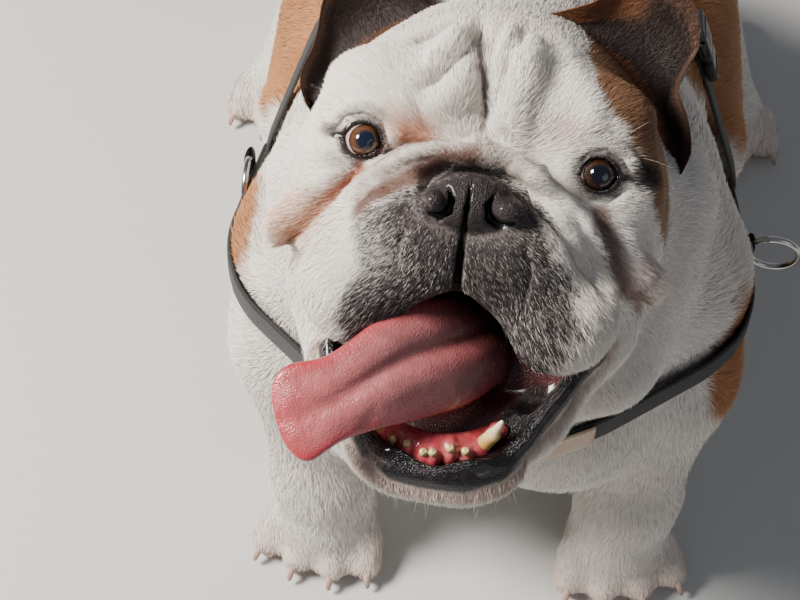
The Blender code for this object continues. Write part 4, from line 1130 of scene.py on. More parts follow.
ear_shades = ear_tone[skin_quads].mean(axis=1) * 1.1
COAT = (
    # name, where, how many locks, their length, width and lift, seed
    ("coat_muzzle", hairy * muzzle, 99000, muzzle_length, 0.22, face_lift, 11),
    ("coat_brow", hairy * brow, 92000, brow_length, 0.30, face_lift, 12),
    ("coat_cheeks", hairy * cheeks, 90000, even(8.0), 0.42, even(0.17), 13),
    ("coat_chin", hairy * chin, 60000, even(7.0), 0.40, even(0.24), 14),
    ("coat_ears", hairy * ear_face, 30000, even(4.2), 0.36, even(0.22), 15, ear_shades),
    ("coat_chest", trunk * (middles[:, 1] < 0.0), 99000, body_length, 0.56, even(0.15), 16),
    ("coat_back", trunk * (middles[:, 1] >= 0.0), 99000, body_length, 0.60, even(0.15), 17),
    ("coat_forelegs", fore, 70000, body_length, 0.44, even(0.16), 18),
    ("coat_haunches", hind, 99000, body_length, 0.52, even(0.15), 19),
)
for row in COAT:
    coat_piece(*row)

# ---------------------------------------------------------------- whiskers
# A few long pale hairs on the brows, cheeks, flews and chin, rooted singly in the skin. Each is a thin stiff
# thread of horn that tapers to its tip and droops a little.

WHISKERS = (
    # where on the face, in millimetres; which way; length; how many; how far apart
    ((80, 8, 24), (0.75, -0.45, 0.55), 22, 1, 6),
    ((84, 10, 14), (0.85, -0.35, 0.25), 18, 1, 5),
    ((-78, 8, 20), (-0.6, -0.5, 0.55), 24, 3, 6),
    ((56, -20, -92), (0.45, -0.65, -0.6), 24, 7, 16),
    ((-56, -20, -92), (-0.45, -0.65, -0.6), 22, 7, 16),
    ((74, -6, -72), (0.8, -0.5, -0.2), 20, 4, 12),
    ((-78, -4, -70), (-0.8, -0.5, -0.2), 18, 4, 12),
    ((-10, -8, -190), (-0.1, -0.75, -0.75), 15, 10, 24),
    ((30, -4, -183), (0.25, -0.75, -0.7), 14, 7, 18),
    ((96, 14, -44), (0.85, -0.45, 0.0), 15, 1, 5),
    ((-96, 14, -40), (-0.85, -0.45, 0.0), 16, 2, 5),
)
WHISKER_RADIUS = 0.09
skin_face = in_face(skin_points)
chance = np.random.default_rng(31)
points = []
faces = []
for centre, heading, long, how_many, spread in WHISKERS:
    for _ in range(how_many):
        root = np.array(centre, float) + chance.normal(0, spread / 2, 3) * (1, 0, 0.5)
        near = np.linalg.norm((skin_face - root) * (1, 0.25, 1), axis=1) + 50 * (skin_inner > 0.0004)
        root = skin_face[near.argmin()]
        way = np.array(heading) + chance.normal(0, 0.16, 3)
        way /= np.linalg.norm(way)
        droop = np.array((0, 0, -1.0)) * 0.16 + chance.normal(0, 0.05, 3)
        reach = long * chance.uniform(0.6, 1.05)
        side = np.cross(way, (0.3, 0.2, 1))
        side /= np.linalg.norm(side)
        lift = np.cross(side, way)
        spokes = [side * math.cos(turned) + lift * math.sin(turned) for turned in (0.5, 2.6, 4.7)]
        first = len(points)
        for share in np.linspace(0, 1, 9):
            middle = root + way * reach * share + droop * reach * share**2
            points += [middle + WHISKER_RADIUS * (1 - 0.8 * share) * spoke for spoke in spokes]
        last = len(points) - 3
        for row in range(first, last, 3):
            faces += [(row + k, row + (k + 1) % 3, row + (k + 1) % 3 + 3, row + k + 3) for k in range(3)]
        faces += [(first + 2, first + 1, first), (last, last + 1, last + 2)]
whisker_mesh = built("whiskers", out_of_face(np.array(points)), faces)
whisker_stuff, add, sums, feed = new_material("whisker")
wisp = add("TexNoise", Vector=add("TexCoord", 3), Scale=90.0)
wisp_tone = mixed(add, wisp, (0.55, 0.47, 0.40), (0.86, 0.80, 0.72))
feed(Base_Color=wisp_tone, Roughness=sums("MULTIPLY_ADD", wisp, 0.2, 0.3))
whisker_mesh.materials.append(whisker_stuff)
fitted("whiskers", whisker_mesh, "white_coat")

# ---------------------------------------------------------------- eyes
# Each eye is a glossy ball with a clear bulge over the iris, held between its lids. The brown iris has fine
# spokes and a dark edge round a wide black pupil, tinted blue as a painted reflection, and the white shows
# only in the corners. The dog's left eye is darkened as painted shade, its right one a little lighter.

EYE_TURNS = {"left": (0.0010, -0.0111, 0.0000), "right": (0.0022, -0.0110, -0.0002)}
# The iris of the dog's left eye, away from the key lamp, is darkened as painted shade; the right one is
# lightened a little as painted light.
EYE_PAINTED_SHADES = {"left": 0.28, "right": 1.1}
CORNEA_RISE = 0.9
EYE_SIDES = 72
# Colours from the middle of the pupil outwards; the pupil's faint blue is a painted reflection.
EYE_STOPS = (
    (0.00, (0.004, 0.008, 0.018)), (0.37, (0.004, 0.008, 0.018)), (0.59, (0.085, 0.034, 0.014)),
    (0.72, (0.070, 0.028, 0.012)), (0.775, (0.016, 0.008, 0.006)), (0.800, (0.030, 0.018, 0.016)),
    (0.825, (0.52, 0.38, 0.36)), (0.90, (0.46, 0.28, 0.27)), (0.985, (0.22, 0.05, 0.05)),
)


def round_steps(count):
    return np.linspace(0, 2 * math.pi, count, endpoint=False)


def woven(name, rings, loop=False):
    """A mesh through rings of points, its ends closed unless it is a loop, with its faces turned outwards."""
    rings = np.asarray(rings, float)
    index = np.arange(rings.shape[0] * rings.shape[1]).reshape(rings.shape[:2])
    rows = np.vstack([index, index[:1]]) if loop else index
    turned = np.roll(rows, -1, axis=1)
    faces = np.stack([rows[:-1], turned[:-1], turned[1:], rows[1:]], axis=-1).reshape(-1, 4).tolist()
    if not loop:
        faces += [index[0][::-1].tolist(), index[-1].tolist()]
    mesh = built(name, rings.reshape(-1, 3), faces)
    shape = bmesh.new()
    shape.from_mesh(mesh)
    bmesh.ops.recalc_face_normals(shape, faces=shape.faces)
    shape.to_mesh(mesh)
    shape.free()
    return mesh


eye_stuff, add, sums, feed = new_material("eye", Coat_Weight=1.0, Coat_Roughness=0.02)
look = add("Attribute", 1, attribute_name="look")
radius = add("VectorMath", 1, operation="LENGTH", i0=look)
spoke_place = add("VectorMath", operation="NORMALIZE", i0=look)
spokes = add("TexNoise", Vector=spoke_place, Scale=14.0, Detail=6.0, Roughness=0.75)
flecks = add("TexNoise", Vector=look, Scale=9.0, Detail=4.0)
iris_tone = add("ValToRGB", i0=sums("ADD", radius, sums("MULTIPLY_ADD", flecks, 0.05, -0.025)))
ramp = iris_tone.node.color_ramp.elements
ramp[1].position = EYE_STOPS[-1][0]
for position, _ in EYE_STOPS[1:-1]:
    ramp.new(position)
for stop, (_, colour) in zip(ramp, EYE_STOPS):
    stop.color = (*colour, 1)
streak = add("MapRange", Value=spokes, i1=0.3, i2=0.7, i3=0.55, i4=1.65)
streak = sums("MULTIPLY", streak, add("Attribute", 2, attribute_name="shade"))
feed(Base_Color=scaled(add, iris_tone, streak), Roughness=sums("MULTIPLY_ADD", flecks, 0.04, 0.03))
for name, side in SIDES:
    ahead = np.array(Vector(EYE_TURNS[name]).normalized())
    up = np.array((0, 0, 1)) - ahead * ahead[2]
    up /= np.linalg.norm(up)
    turns = round_steps(EYE_SIDES)
    ways = np.outer(np.cos(turns), np.cross(ahead, up)) + np.outer(np.sin(turns), up)
    rings = []
    looks = []
    for tilt in np.concatenate([np.linspace(0.008, 1.1, 34), np.linspace(1.1, math.pi - 0.02, 18)[1:]]):
        radius = EYEBALL_RADIUS + CORNEA_RISE * math.exp(-((tilt / 0.62) ** 4))
        rings.append(EYE * (side, 1, 1) + (ahead * math.cos(tilt) + ways * math.sin(tilt)) * radius)
        spread = tilt if tilt > math.pi / 2 else math.sin(tilt)
        looks.append(np.stack([np.cos(turns), np.sin(turns), 0 * turns], axis=1) * spread)
    eye_mesh = woven("eyeball_" + name, out_of_face(np.array(rings)))
    looks = np.concatenate(looks)
    store(eye_mesh, "look", looks)
    store(eye_mesh, "shade", np.full(len(looks), EYE_PAINTED_SHADES[name]))
    eye_mesh.materials.append(eye_stuff)
    fitted("eyeball_" + name, eye_mesh, "eye", "eye_" + name)

# ---------------------------------------------------------------- tongue
# Long, flat and wet, it comes out of the right side of the mouth and lies over the gum. A groove runs along
# its middle, its edges are thick and redder, and fine papillae roughen its top.

TONGUE_STATIONS = (
    # middle x, y, z; half width across x, y, z; half thickness
    (22, 44, -95, 11.5, 0, -18, 7),
    (13.6, 20, -101, 14.5, 2, -22.2, 8),
    (-5, -2, -111, 15, 4, -27.8, 8.8),
    (-29.5, -20, -124, 11.2, 2, -26.8, 7.8),
    (-55, -31, -141.2, 8.5, 0, -21.8, 6.6),
    (-74, -36, -153, 10, 0, -25, 5.2),
    (-86.5, -37, -157.8, 9.5, 0, -22.2, 3.6),
)
TONGUE_STEPS = 150
TONGUE_SIDES = 96


def bump(value, middle, width):
    return np.exp(-(((value - middle) / width) ** 2))


stations = curve_through(TONGUE_STATIONS, TONGUE_STEPS)
runs = np.concatenate([[0], np.cumsum(np.linalg.norm(np.diff(stations[:, :3], axis=0), axis=1))])
runs /= runs[-1]
across = stations[:, 3:6]
up = np.cross(np.gradient(stations[:, :3], axis=0), across)
up /= np.linalg.norm(up, axis=1, keepdims=True)
narrow = (1 - np.clip((runs - 0.875) / 0.125, 0, 1) ** 3.4) ** (1 / 2.6)
narrow[-1] = 0.02
turns = round_steps(TONGUE_SIDES)
wide, high = [np.sign(wave) * np.abs(wave) ** 0.85 for wave in (np.cos(turns), np.sin(turns))]
top = blended_step(-0.2, 0.5, np.sin(turns))
rings = []
for i, run in enumerate(runs):
    meander = -0.26 + 0.34 * run + 0.05 * math.sin(run * 9)
    depth = blended_step(0.02, 0.25, run) * (1 - 0.80 * blended_step(0.60, 0.92, run))
    groove = 0.42 * depth * bump(wide, meander, 0.15)
    belly = 0.42 * bump(wide, meander + 0.42, 0.34) * (1 - 0.6 * blended_step(0.6, 0.9, run))
    shelf = 0.16 * bump(wide, meander - 0.42, 0.26)
    curl = 0.30 * np.abs(wide) ** 3 * blended_step(0.5, 0.9, run)
    pleat = 0.10 * bump(run - 0.10 * wide, 0.62, 0.030) * blended_step(0.1, 0.8, wide)
    ripple = 0.018 * np.sin(wide * 7 + run * 17) * np.sin(run * 29 + 1.3)
    level = high + (belly + shelf + curl + ripple - groove - pleat) * top
    level *= stations[i, 6] * (0.35 + 0.65 * narrow[i])
    rings.append(stations[i, :3] + np.outer(wide * narrow[i], across[i]) + np.outer(level, up[i]))
rings = out_of_face(np.array(rings))
tongue_mesh = woven("wet_tongue", rings)
points = rings.reshape(-1, 3) * 1000
rim_share = np.tile(np.abs(wide), TONGUE_STEPS)
along_share = np.repeat(runs, TONGUE_SIDES)
tip = blended_step(0.55, 0.90, along_share)
tone = lay(
    np.tile(tint(158, 92, 92), (len(points), 1)),
    (blended_step(-0.2, 0.8, mottle(points, 9, 52)) * 0.5, tint(180, 108, 110)),
    (tip * 0.55, tint(186, 92, 92)),
    (blended_step(0.66, 0.98, rim_share) * (0.5 + 0.5 * tip), tint(182, 54, 66)),
    (blended_step(0.86, 1.0, along_share) * 0.8, tint(176, 66, 72)),
    # painted shade on the tongue's root, back inside the mouth under the lip
    (blended_step(0.48, 0.08, along_share) * 0.9, tint(66, 22, 28)),
    (np.tile(1 - top, TONGUE_STEPS) * 0.7, tint(138, 44, 50)),
)
store_tone(tongue_mesh, tone * (0.88 + 0.22 * (0.5 + 0.5 * mottle(points, 3, 51)))[:, None])
fitted("wet_tongue", tongue_mesh, "wet_flesh", "tongue")


def node_group(name, inputs, outputs):
    """An effect that materials share: its tree, and its named inputs and outputs."""
    tree = bpy.data.node_groups.new(name, "ShaderNodeTree")
    for way, labels in (("INPUT", inputs), ("OUTPUT", outputs)):
        for label in labels:
            kind = "NodeSocketVector" if label == "Along" else "NodeSocketFloat"
            tree.interface.new_socket(label, in_out=way, socket_type=kind)
    return tree, tree.nodes.new("NodeGroupInput").outputs, tree.nodes.new("NodeGroupOutput").inputs


wet_relief, given, kept = node_group("wet relief", ("Pimple Scale", "Pimple Share"), ("Height", "Roughness"))
add, sums = makers(wet_relief)
place = add("TexCoord", 3)
folds = add("TexNoise", Vector=place, Scale=260.0, Detail=4.0)
pimples = add("TexVoronoi", Vector=place, Scale=given["Pimple Scale"])
wet_relief.links.new(sums("MULTIPLY_ADD", pimples, given["Pimple Share"], folds), kept["Height"])
wet_relief.links.new(add("MapRange", Value=folds, i1=0.35, i2=0.65, i3=0.16, i4=0.42), kept["Roughness"])


def wet_material(name, pimple_scale, pimple_share, strength, coat):
    """Wet flesh coloured by its own tones, with pimples of the scale given under a glossy film."""
    stuff, add, sums, feed = new_material(name, Coat_Weight=coat, Coat_Roughness=0.14)
    relief = add("Group", node_tree=wet_relief).node
    relief.inputs["Pimple Scale"].default_value = pimple_scale
    relief.inputs["Pimple Share"].default_value = pimple_share
    vein = add("TexNoise", Vector=add("TexCoord", 3), Scale=140.0, Detail=5.0)
    shade = add("MapRange", Value=vein, i3=0.75, i4=1.25)
    feed(
        Base_Color=scaled(add, add("Attribute", attribute_name="tone"), shade),
        Roughness=relief.outputs["Roughness"],
        Normal=add("Bump", Strength=strength, Distance=0.0007, Height=relief.outputs["Height"]),
    )
    return stuff


tongue_mesh.materials.append(wet_material("tongue_flesh", 980.0, 0.9, 0.46, 0.40))

# ---------------------------------------------------------------- gum and teeth
# The lower gum is a bowed ridge of pink-red lumps, one round the root of each tooth. Its front teeth are worn
# to small yellow stubs, and the canines stand outside them, ivory with yellow roots.

INCISORS = ((-24.5, -165.2), (-16.2, -165.9), (-6.0, -169.0), (-0.8, -168.4), (8.1, -164.8), (16.6, -165.4))
GUM_BOX = face_box((-46, -18, -182), (44, 52, -130))
GUM_BOW = 32
GUM_MIDDLE = np.array((-3, 34, -162.5))
gum_clay = Clay(*GUM_BOX, 0.0008)
tooth_clay = Clay(*GUM_BOX, 0.0006)
turns = np.radians(np.linspace(-80, 80, 25))
bow = np.stack([GUM_BOW * np.sin(turns), -GUM_BOW * np.cos(turns), 13 * (1 - np.cos(turns))], axis=1)
bow += GUM_MIDDLE
gum_clay.put(chain(3, bow, [7.2] * len(bow)))
for x, z in INCISORS:
    depth = 34 - GUM_BOW * math.cos(math.asin((x + 3) / 34))
    gum_clay.put([(1.2, (x, depth - 4, z + 2), (5.4, 6.4, 8.4))])
    tooth_clay.put(chain(1, [(x, depth - 2, z), (x, depth - 10.8, z + 3.6)], (3.4, 2.4)))
    tooth_clay.put([(-0.6, (x + 0.6, depth - 13.4, z + 4.6), (1.0, 1.6, 0.8))])
for _, side in SIDES:
    tall = 1.15 if side > 0 else 0.9
    root = np.array((-3 + side * 26.5, 8, -159.5))
    tip = root + np.array((side * 9.2, -12.5, 14.5)) * tall
    bend = root + (tip - root) * 0.55 + (side * 1.0, 0.4, -0.6)
    gum_clay.put([(3, root, (6.6, 6.8, 6.0)), (3, root + (side * 9, 4, 11), (5.8, 7.0, 5.0))])
    tooth_clay.put(chain(1, [root, bend, tip], (5.0, 4.1, 1.3)))


def clay_mesh(name, clay):
    points, quads = drawn(clay)
    return built(name, points, quads.tolist()), in_face(points)


gum_mesh, face = clay_mesh("gum", gum_clay)
tone = lay(
    np.tile(tint(186, 70, 78), (len(face), 1)),
    (0.6 * blended_step(-0.3, 0.7, mottle(face, 5, 61)), tint(206, 108, 108)),
    (0.5 * blended_step(0.1, 0.8, mottle(face, 3.2, 62)), tint(148, 44, 56)),
    # painted shade on the gum further back in the mouth
    (0.7 * blended_step(12, 26, face[:, 1]), tint(96, 34, 42)),
)
store_tone(gum_mesh, tone)
gum_mesh.materials.append(wet_material("gum_flesh", 700.0, 0.35, 0.5, 0.8))
fitted("gum", gum_mesh, "wet_flesh", "lower_gum")

teeth_mesh, face = clay_mesh("teeth", tooth_clay)
is_canine = blended_step(22, 25, np.abs(face[:, 0] + 3))
tone = lay(
    np.tile(tint(222, 202, 150), (len(face), 1)),
    (0.6 * blended_step(-0.4, 0.8, mottle(face, 2.6, 63)), tint(186, 148, 82)),
    (0.8 * is_canine * blended_step(-148, -157, face[:, 2]), tint(204, 150, 62)),
    (0.7 * is_canine * blended_step(-150, -142, face[:, 2]), tint(240, 234, 216)),
    (0.7 * (1 - is_canine) * blended_step(0.35, 0.75, mottle(face, 1.4, 64)), tint(70, 54, 34)),
)
store_tone(teeth_mesh, tone)
teeth_mesh.materials.append(wet_material("tooth", 1200.0, 0.1, 0.15, 0.7))
fitted("teeth", teeth_mesh, "wet_flesh")

# ---------------------------------------------------------------- claws
# Four blunt claws on each paw, of translucent horn, darker towards the worn tip. Each is a bent, tapering
# bar that comes out of the end of its toe.

CLAW_SIDES = 20
CLAW_STEPS = 15
CLAW_LINE = ((0, 0), (7.5, -0.4), (12.5, -3.0), (15.8, -7.4))
CLAW_RADIUS = 3.8
claw_stuff, add, sums, feed = new_material("claw_horn")
layers = add("TexNoise", Vector=add("TexCoord", 3), Scale=700.0, Detail=3.0)
shade = add("MapRange", Value=layers, i3=0.8, i4=1.2)
feed(
    Base_Color=scaled(add, add("Attribute", attribute_name="tone"), shade),
    Roughness=sums("MULTIPLY_ADD", layers, 0.25, 0.25),
    Normal=add("Bump", Strength=0.3, Distance=0.0003, Height=layers),
)
share = np.linspace(0, 1, CLAW_STEPS)[:, None, None]
claw_radius = CLAW_RADIUS * (1 - 0.56 * share**1.8) * np.where(share == 1, 0.35, 1)
turns = round_steps(CLAW_SIDES)[:, None]
flat = np.where(np.sin(turns) > 0, 1.12, 0.85)
claw_tone = tint(212, 180, 166) * (1 - share**2) + tint(160, 128, 112) * share**2
claw_tones = np.tile(np.repeat(claw_tone[:, 0], CLAW_SIDES, axis=0), (4, 1))
index = np.arange(4 * CLAW_STEPS * CLAW_SIDES).reshape(4, CLAW_STEPS, CLAW_SIDES)
turned = np.roll(index, -1, axis=2)
claw_faces = np.stack([index[:, :-1], index[:, 1:], turned[:, 1:], turned[:, :-1]], axis=-1)
claw_faces = claw_faces.reshape(-1, 4).tolist()
claw_faces += index[:, 0].tolist() + index[:, -1, ::-1].tolist()
for paw, measures in PAWS.items():
    for name, side in SIDES:
        claws = []
        for heel, ahead, reach in toe_places(side, *measures):
            ahead = np.array(ahead)
            across = np.cross(ahead, (0, 0, 1))
            start = np.array(heel) + ahead * (reach + TOE_RADIUS * 0.10) + (0, 0, 14)
            line = curve_through([start + ahead * out + (0, 0, rise) for out, rise in CLAW_LINE], CLAW_STEPS)
            ring = across * np.cos(turns) * 0.82 + np.array((0, 0, 1)) * np.sin(turns) * flat
            claws.append(line[:, None] + ring * claw_radius)
        claws = np.array(claws).reshape(-1, 3) / 1000 + np.array(CENTRING.translation)
        mesh = built("claws", claws, claw_faces)
        store_tone(mesh, claw_tones)
        mesh.materials.append(claw_stuff)
        solids = ["claw_" + paw + "_" + name + "_" + str(i + 1) for i in range(4)]
        fitted("claws_" + paw + "_" + name, mesh, "claw_horn", *solids)

# ---------------------------------------------------------------- harness
# Two straps of flat black webbing, one across the chest and one round the girth, with a row of stitches near
# each edge. Both are pulled taut over the coat, and a stitched leather tab lies on the chest strap.

WEBBING_THICKNESS = 0.0028
STRAP_WIDTH = 0.024
STRAP_OFF_SKIN = 0.0014
WARP_PITCH = 0.0011
WEFT_PITCH = 0.0018
TAB_SPAN = [-190 + 200 / 37 * i for i in (17, 23)]
STRAPS = {
    # node: middle, lean and roll in degrees
    "girth_strap": ((0, 0.070, 0.222), 70, 0),
    "chest_strap": ((0, -0.030, 0.238), -1, -2),
}


def solid_points(node):
    return np.array([v.co for v in frame["nodes"][node].data.vertices])


def taut_outline(flat):
    """The loop that a band pulled taut round flat points takes, in order."""
    flat = flat[np.lexsort((flat[:, 1], flat[:, 0]))]
    outline = []
    for half in (flat, flat[::-1]):
        hull = []
        for point in half:
            while len(hull) > 1:
                (a, b), (c, d) = hull[-1] - hull[-2], point - hull[-2]
                if a * d - b * c > 0:
                    break
                hull.pop()
            hull.append(point)
        outline += hull[:-1]
    return np.array(outline)


def strap_path(node, start, end, steps, lift):
    """Points along a strap at a height over its inner face, and the directions out and across there."""
    middle, lean, roll = STRAPS[node]
    lean, roll = math.radians(lean), math.radians(roll)
    plane = np.array(((math.cos(roll), 0, math.sin(roll)), (0, math.cos(lean), math.sin(lean))))
    side = np.cross(*plane)
    side /= np.linalg.norm(side)
    centre = np.array(CENTRING @ Vector(middle))
    solid = (solid_points(node) - centre) @ plane.T
    angles = np.arctan2(solid[:, 1], solid[:, 0])
    order = np.argsort(angles)
    near = skin_points - centre
    near = near[np.abs(near @ side) < STRAP_WIDTH / 2] @ plane.T
    reaches = np.linalg.norm(solid, axis=1)[order]
    limit = np.interp(np.arctan2(near[:, 1], near[:, 0]), angles[order], reaches, period=2 * math.pi)
    ring = taut_outline(near[np.linalg.norm(near, axis=1) < limit])
    edge = np.roll(ring, -1, axis=0) - ring
    facing = np.stack([edge[:, 1], -edge[:, 0]], axis=1)
    turned = np.radians(np.linspace(start, end, steps))
    ways = np.stack([np.cos(turned), np.sin(turned)], axis=1)
    slant = facing @ ways.T
    level = (facing * ring).sum(axis=1)[:, None] / np.maximum(slant, 1e-9)
    level = np.where(slant > 1e-9, level, 9).min(axis=0)
    for _ in range(3):
        level[1:-1] = np.maximum(level[1:-1], (level[:-2] + level[2:]) / 2)
    outs = ways @ plane
    return centre + outs * (level + STRAP_OFF_SKIN + lift)[:, None], outs, side


def ribbon(name, stuff, path, width, thickness, closed=False, bow=0.0004):
    """A woven band with rounded edges along a path, its length and breadth kept at each corner."""
    points, outs, side = path
    shares = np.linspace(-1, 1, 17)
    edge = np.abs(shares) ** 10
    top = np.stack([shares * width / 2, thickness * (1 - 0.45 * edge) + bow * (1 - shares**2)], axis=1)
    low = np.stack([-shares * width / 2 * 0.985, thickness * 0.12 * edge], axis=1)
    profile = np.vstack([top, low])
    mesh = woven(name, points[:, None] + profile[:, :1] * side + outs[:, None] * profile[:, 1:], closed)
    along = np.zeros((len(points), len(profile), 3))
    along[1:, :, 0] = np.cumsum(np.linalg.norm(np.diff(points, axis=0), axis=1))[:, None]
    along[..., 1:] = profile
    store(mesh, "along", along.reshape(-1, 3))
    mesh.materials.append(stuff)
    return mesh


# A row of stitches near both edges of a band: one where there is thread.
stitching, given, kept = node_group("stitching", ("Along", "Row", "Pitch"), ("Thread",))
add, sums = makers(stitching)
breadth = sums("ABSOLUTE", add("SeparateXYZ", 1, i0=given["Along"]))
off_row = sums("ABSOLUTE", sums("SUBTRACT", breadth, given["Row"]))
dash = sums("FRACT", sums("DIVIDE", add("SeparateXYZ", i0=given["Along"]), given["Pitch"]))
row = add("MapRange", Value=off_row, i1=0.0007, i2=0.0003)
stitching.links.new(sums("MULTIPLY", row, sums("GREATER_THAN", dash, 0.3)), kept["Thread"])

webbing_stuff, add, sums, feed = new_material("webbing", Sheen_Weight=0.1)
cloth = add("Attribute", 1, attribute_name="along")
warp = sums("SINE", sums("MULTIPLY", add("SeparateXYZ", 1, i0=cloth), 6.283 / WARP_PITCH))
weft = sums("SINE", sums("MULTIPLY", add("SeparateXYZ", i0=cloth), 6.283 / WEFT_PITCH))
fuzz = add("TexNoise", Vector=cloth, Scale=1800.0, Detail=3.0)
worn = add("TexNoise", Vector=cloth, Scale=55.0, Detail=4.0)
thread = add("Group", node_tree=stitching, i0=cloth, i1=0.0095, i2=0.0034)
relief = sums("MULTIPLY_ADD", sums("MULTIPLY", warp, weft), 0.5, sums("MULTIPLY_ADD", thread, 1.6, fuzz))
cloth_tone = mixed(add, sums("MULTIPLY", worn, fuzz), (0.005, 0.005, 0.006), (0.040, 0.041, 0.042))
feed(
    Base_Color=mixed(add, thread, cloth_tone, (0.045, 0.045, 0.044)),
    Roughness=sums("MULTIPLY_ADD", worn, 0.3, 0.6),
    Normal=add("Bump", Strength=0.6, Distance=0.0004, Height=relief),
)
girth_path = strap_path("girth_strap", 0, 358.5, 240, 0)
girth_mesh = ribbon("girth_webbing", webbing_stuff, girth_path, STRAP_WIDTH, WEBBING_THICKNESS, closed=True)
fitted("girth_webbing", girth_mesh, "webbing", "girth_strap")
chest_path = strap_path("chest_strap", -190, 10, 190, 0)
chest_mesh = ribbon("chest_webbing", webbing_stuff, chest_path, STRAP_WIDTH, WEBBING_THICKNESS)
fitted("chest_webbing", chest_mesh, "webbing", "chest_strap")

hide_stuff, add, sums, feed = new_material("beige_leather")
cloth = add("Attribute", 1, attribute_name="along")
pores = add("TexVoronoi", Vector=cloth, Scale=900.0)
patina = add("TexNoise", Vector=cloth, Scale=120.0, Detail=5.0)
thread = add("Group", node_tree=stitching, i0=cloth, i1=0.0093, i2=0.0036)
leather_tone = mixed(add, patina, (0.40, 0.27, 0.18), (0.66, 0.50, 0.37))
feed(
    Base_Color=mixed(add, thread, leather_tone, (0.78, 0.70, 0.58)),
    Roughness=sums("MULTIPLY_ADD", patina, 0.3, 0.4),
    Normal=add("Bump", Strength=0.35, Distance=0.0004, Height=sums("ADD", pores, thread)),
)
tab_path = strap_path("chest_strap", *TAB_SPAN, 40, WEBBING_THICKNESS + 0.0003)
tab_mesh = ribbon("leather_tab", hide_stuff, tab_path, STRAP_WIDTH - 0.0006, 0.0022, bow=0.0003)
fitted("leather_tab", tab_mesh, "hide", "strap_tab")

# ---------------------------------------------------------------- rings and buckle
# Three welded steel rings, each held by a short loop of webbing, and a side-release buckle of black plastic
# that closes the girth strap, its two prongs sprung out in the windows of its shell.

RINGS = (("ring_back", "girth_strap"), ("ring_left", "chest_strap"), ("ring_right", "chest_strap"))
KEEPER_WIDTH = 0.015
KEEPER_REACH = 0.0075


def place_on_strap(node, solid_centre):
    """The place on a strap's outer face nearest to a solid, and the ways out, along and across there."""
    points, outs, side = strap_path(node, 0, 360, 720, WEBBING_THICKNESS + 0.0004)
    k = np.linalg.norm(np.cross(solid_centre - points, outs), axis=1).argmin()
    return points[k], outs[k], np.cross(side, outs[k]), side


steel_stuff, add, sums, feed = new_material("bright_steel", Metallic=1.0)
place = add("TexCoord", 3)
scuffs = add("TexNoise", Vector=place, Scale=900.0, Detail=5.0)
dull = add("TexNoise", Vector=place, Scale=90.0, Detail=3.0)
feed(
    Base_Color=mixed(add, dull, (0.46, 0.45, 0.43), (0.74, 0.73, 0.71)),
    Roughness=sums("MULTIPLY_ADD", scuffs, 0.22, 0.10),
    Normal=add("Bump", Strength=0.12, Distance=0.0002, Height=scuffs),
)
for node, strap in RINGS:
    solid = solid_points(node)
    centre = solid.mean(axis=0)
    _, _, axes = np.linalg.svd(solid - centre)
    spread = np.linalg.norm(solid - centre, axis=1)
    wire = (spread.max() - spread.min()) / 2
    radius = spread.max() - wire
    foot, out, along, side = place_on_strap(strap, centre)
    standing = abs(axes[2] @ out) < 0.5
    centre = centre + out * (wire + (radius if standing else 0) - (centre - foot) @ out)
    turned = round_steps(24)
    rings = []
    for turn in round_steps(96):
        way = axes[0] * math.cos(turn) + axes[1] * math.sin(turn)
        thick = wire * (1 + 0.10 * math.exp(-(((turn - 3.1) / 0.10) ** 2)))
        around = np.outer(np.cos(turned), way) + np.outer(np.sin(turned), axes[2])
        rings.append(centre + way * radius + thick * around)
    ring_mesh = woven("steel_" + node, rings, True)
    ring_mesh.materials.append(steel_stuff)
    fitted("steel_" + node, ring_mesh, "steel", node)
    turned = round_steps(48)
    forward = np.outer(np.cos(turned), along)
    outward = np.outer(np.sin(turned), out)
    held = centre + radius * (-out if standing else -along) + out * 0.0002
    path = (held + forward * KEEPER_REACH + outward * (wire + 0.0003), forward + outward, side)
    keeper_mesh = ribbon("keeper_" + node, webbing_stuff, path, KEEPER_WIDTH, 0.0013, closed=True, bow=0.0001)
    fitted("keeper_" + node, keeper_mesh, "webbing")


def slab(centre, half, corner):
    """A block of the buckle with round edges."""
    axes = np.array(buckle_frame.to_3x3())
    middle = np.array(buckle_frame @ Vector(centre))
    inner = np.array(half) - corner

    def distance(points):
        gap = np.abs((points - middle) @ axes) - inner
        return np.linalg.norm(np.maximum(gap, 0), axis=-1) + np.minimum(gap.max(axis=-1), 0) - corner

    reach = np.abs(axes) @ np.array(half)
    return distance, middle - reach, middle + reach


foot, out, along, side = place_on_strap("girth_strap", solid_points("buckle").mean(axis=0))
buckle_frame = Matrix.Translation(foot) @ Matrix(np.stack([along, side, out], axis=1)).to_4x4()
buckle_clay = Clay(foot - 0.030, foot + 0.030, 0.00055)
buckle_clay.join(slab((0.0085, 0, 0.0046), (0.0125, 0.0152, 0.0044), 0.0030), 0.0010)
buckle_clay.join(slab((-0.0135, 0, 0.0044), (0.0080, 0.0140, 0.0038), 0.0028), 0.0005)
for end in (-0.0160, 0.0150):
    buckle_clay.join(slab((end, 0, 0.0050), (0.0016, 0.0118, 0.0080), 0.0010), -0.0010)
for _, side in SIDES:
    buckle_clay.join(slab((0.0070, side * 0.0150, 0.0046), (0.0062, 0.0042, 0.0024), 0.0010), -0.0008)
    prong = [(x, side * y, 4.6) for x, y in ((-7.0, 9.5), (1.0, 12.4), (8.5, 13.4), (11.5, 10.0))]
    buckle_clay.put(chain(0.8, prong, [2.2] * 4), frame=buckle_frame)
for x in (3.0, 5.6, 8.2, 10.8):
    buckle_clay.put([(-0.6, (x, -7.5, 9.2), (x, 7.5, 9.2), 0.7, 0.7)], frame=buckle_frame)
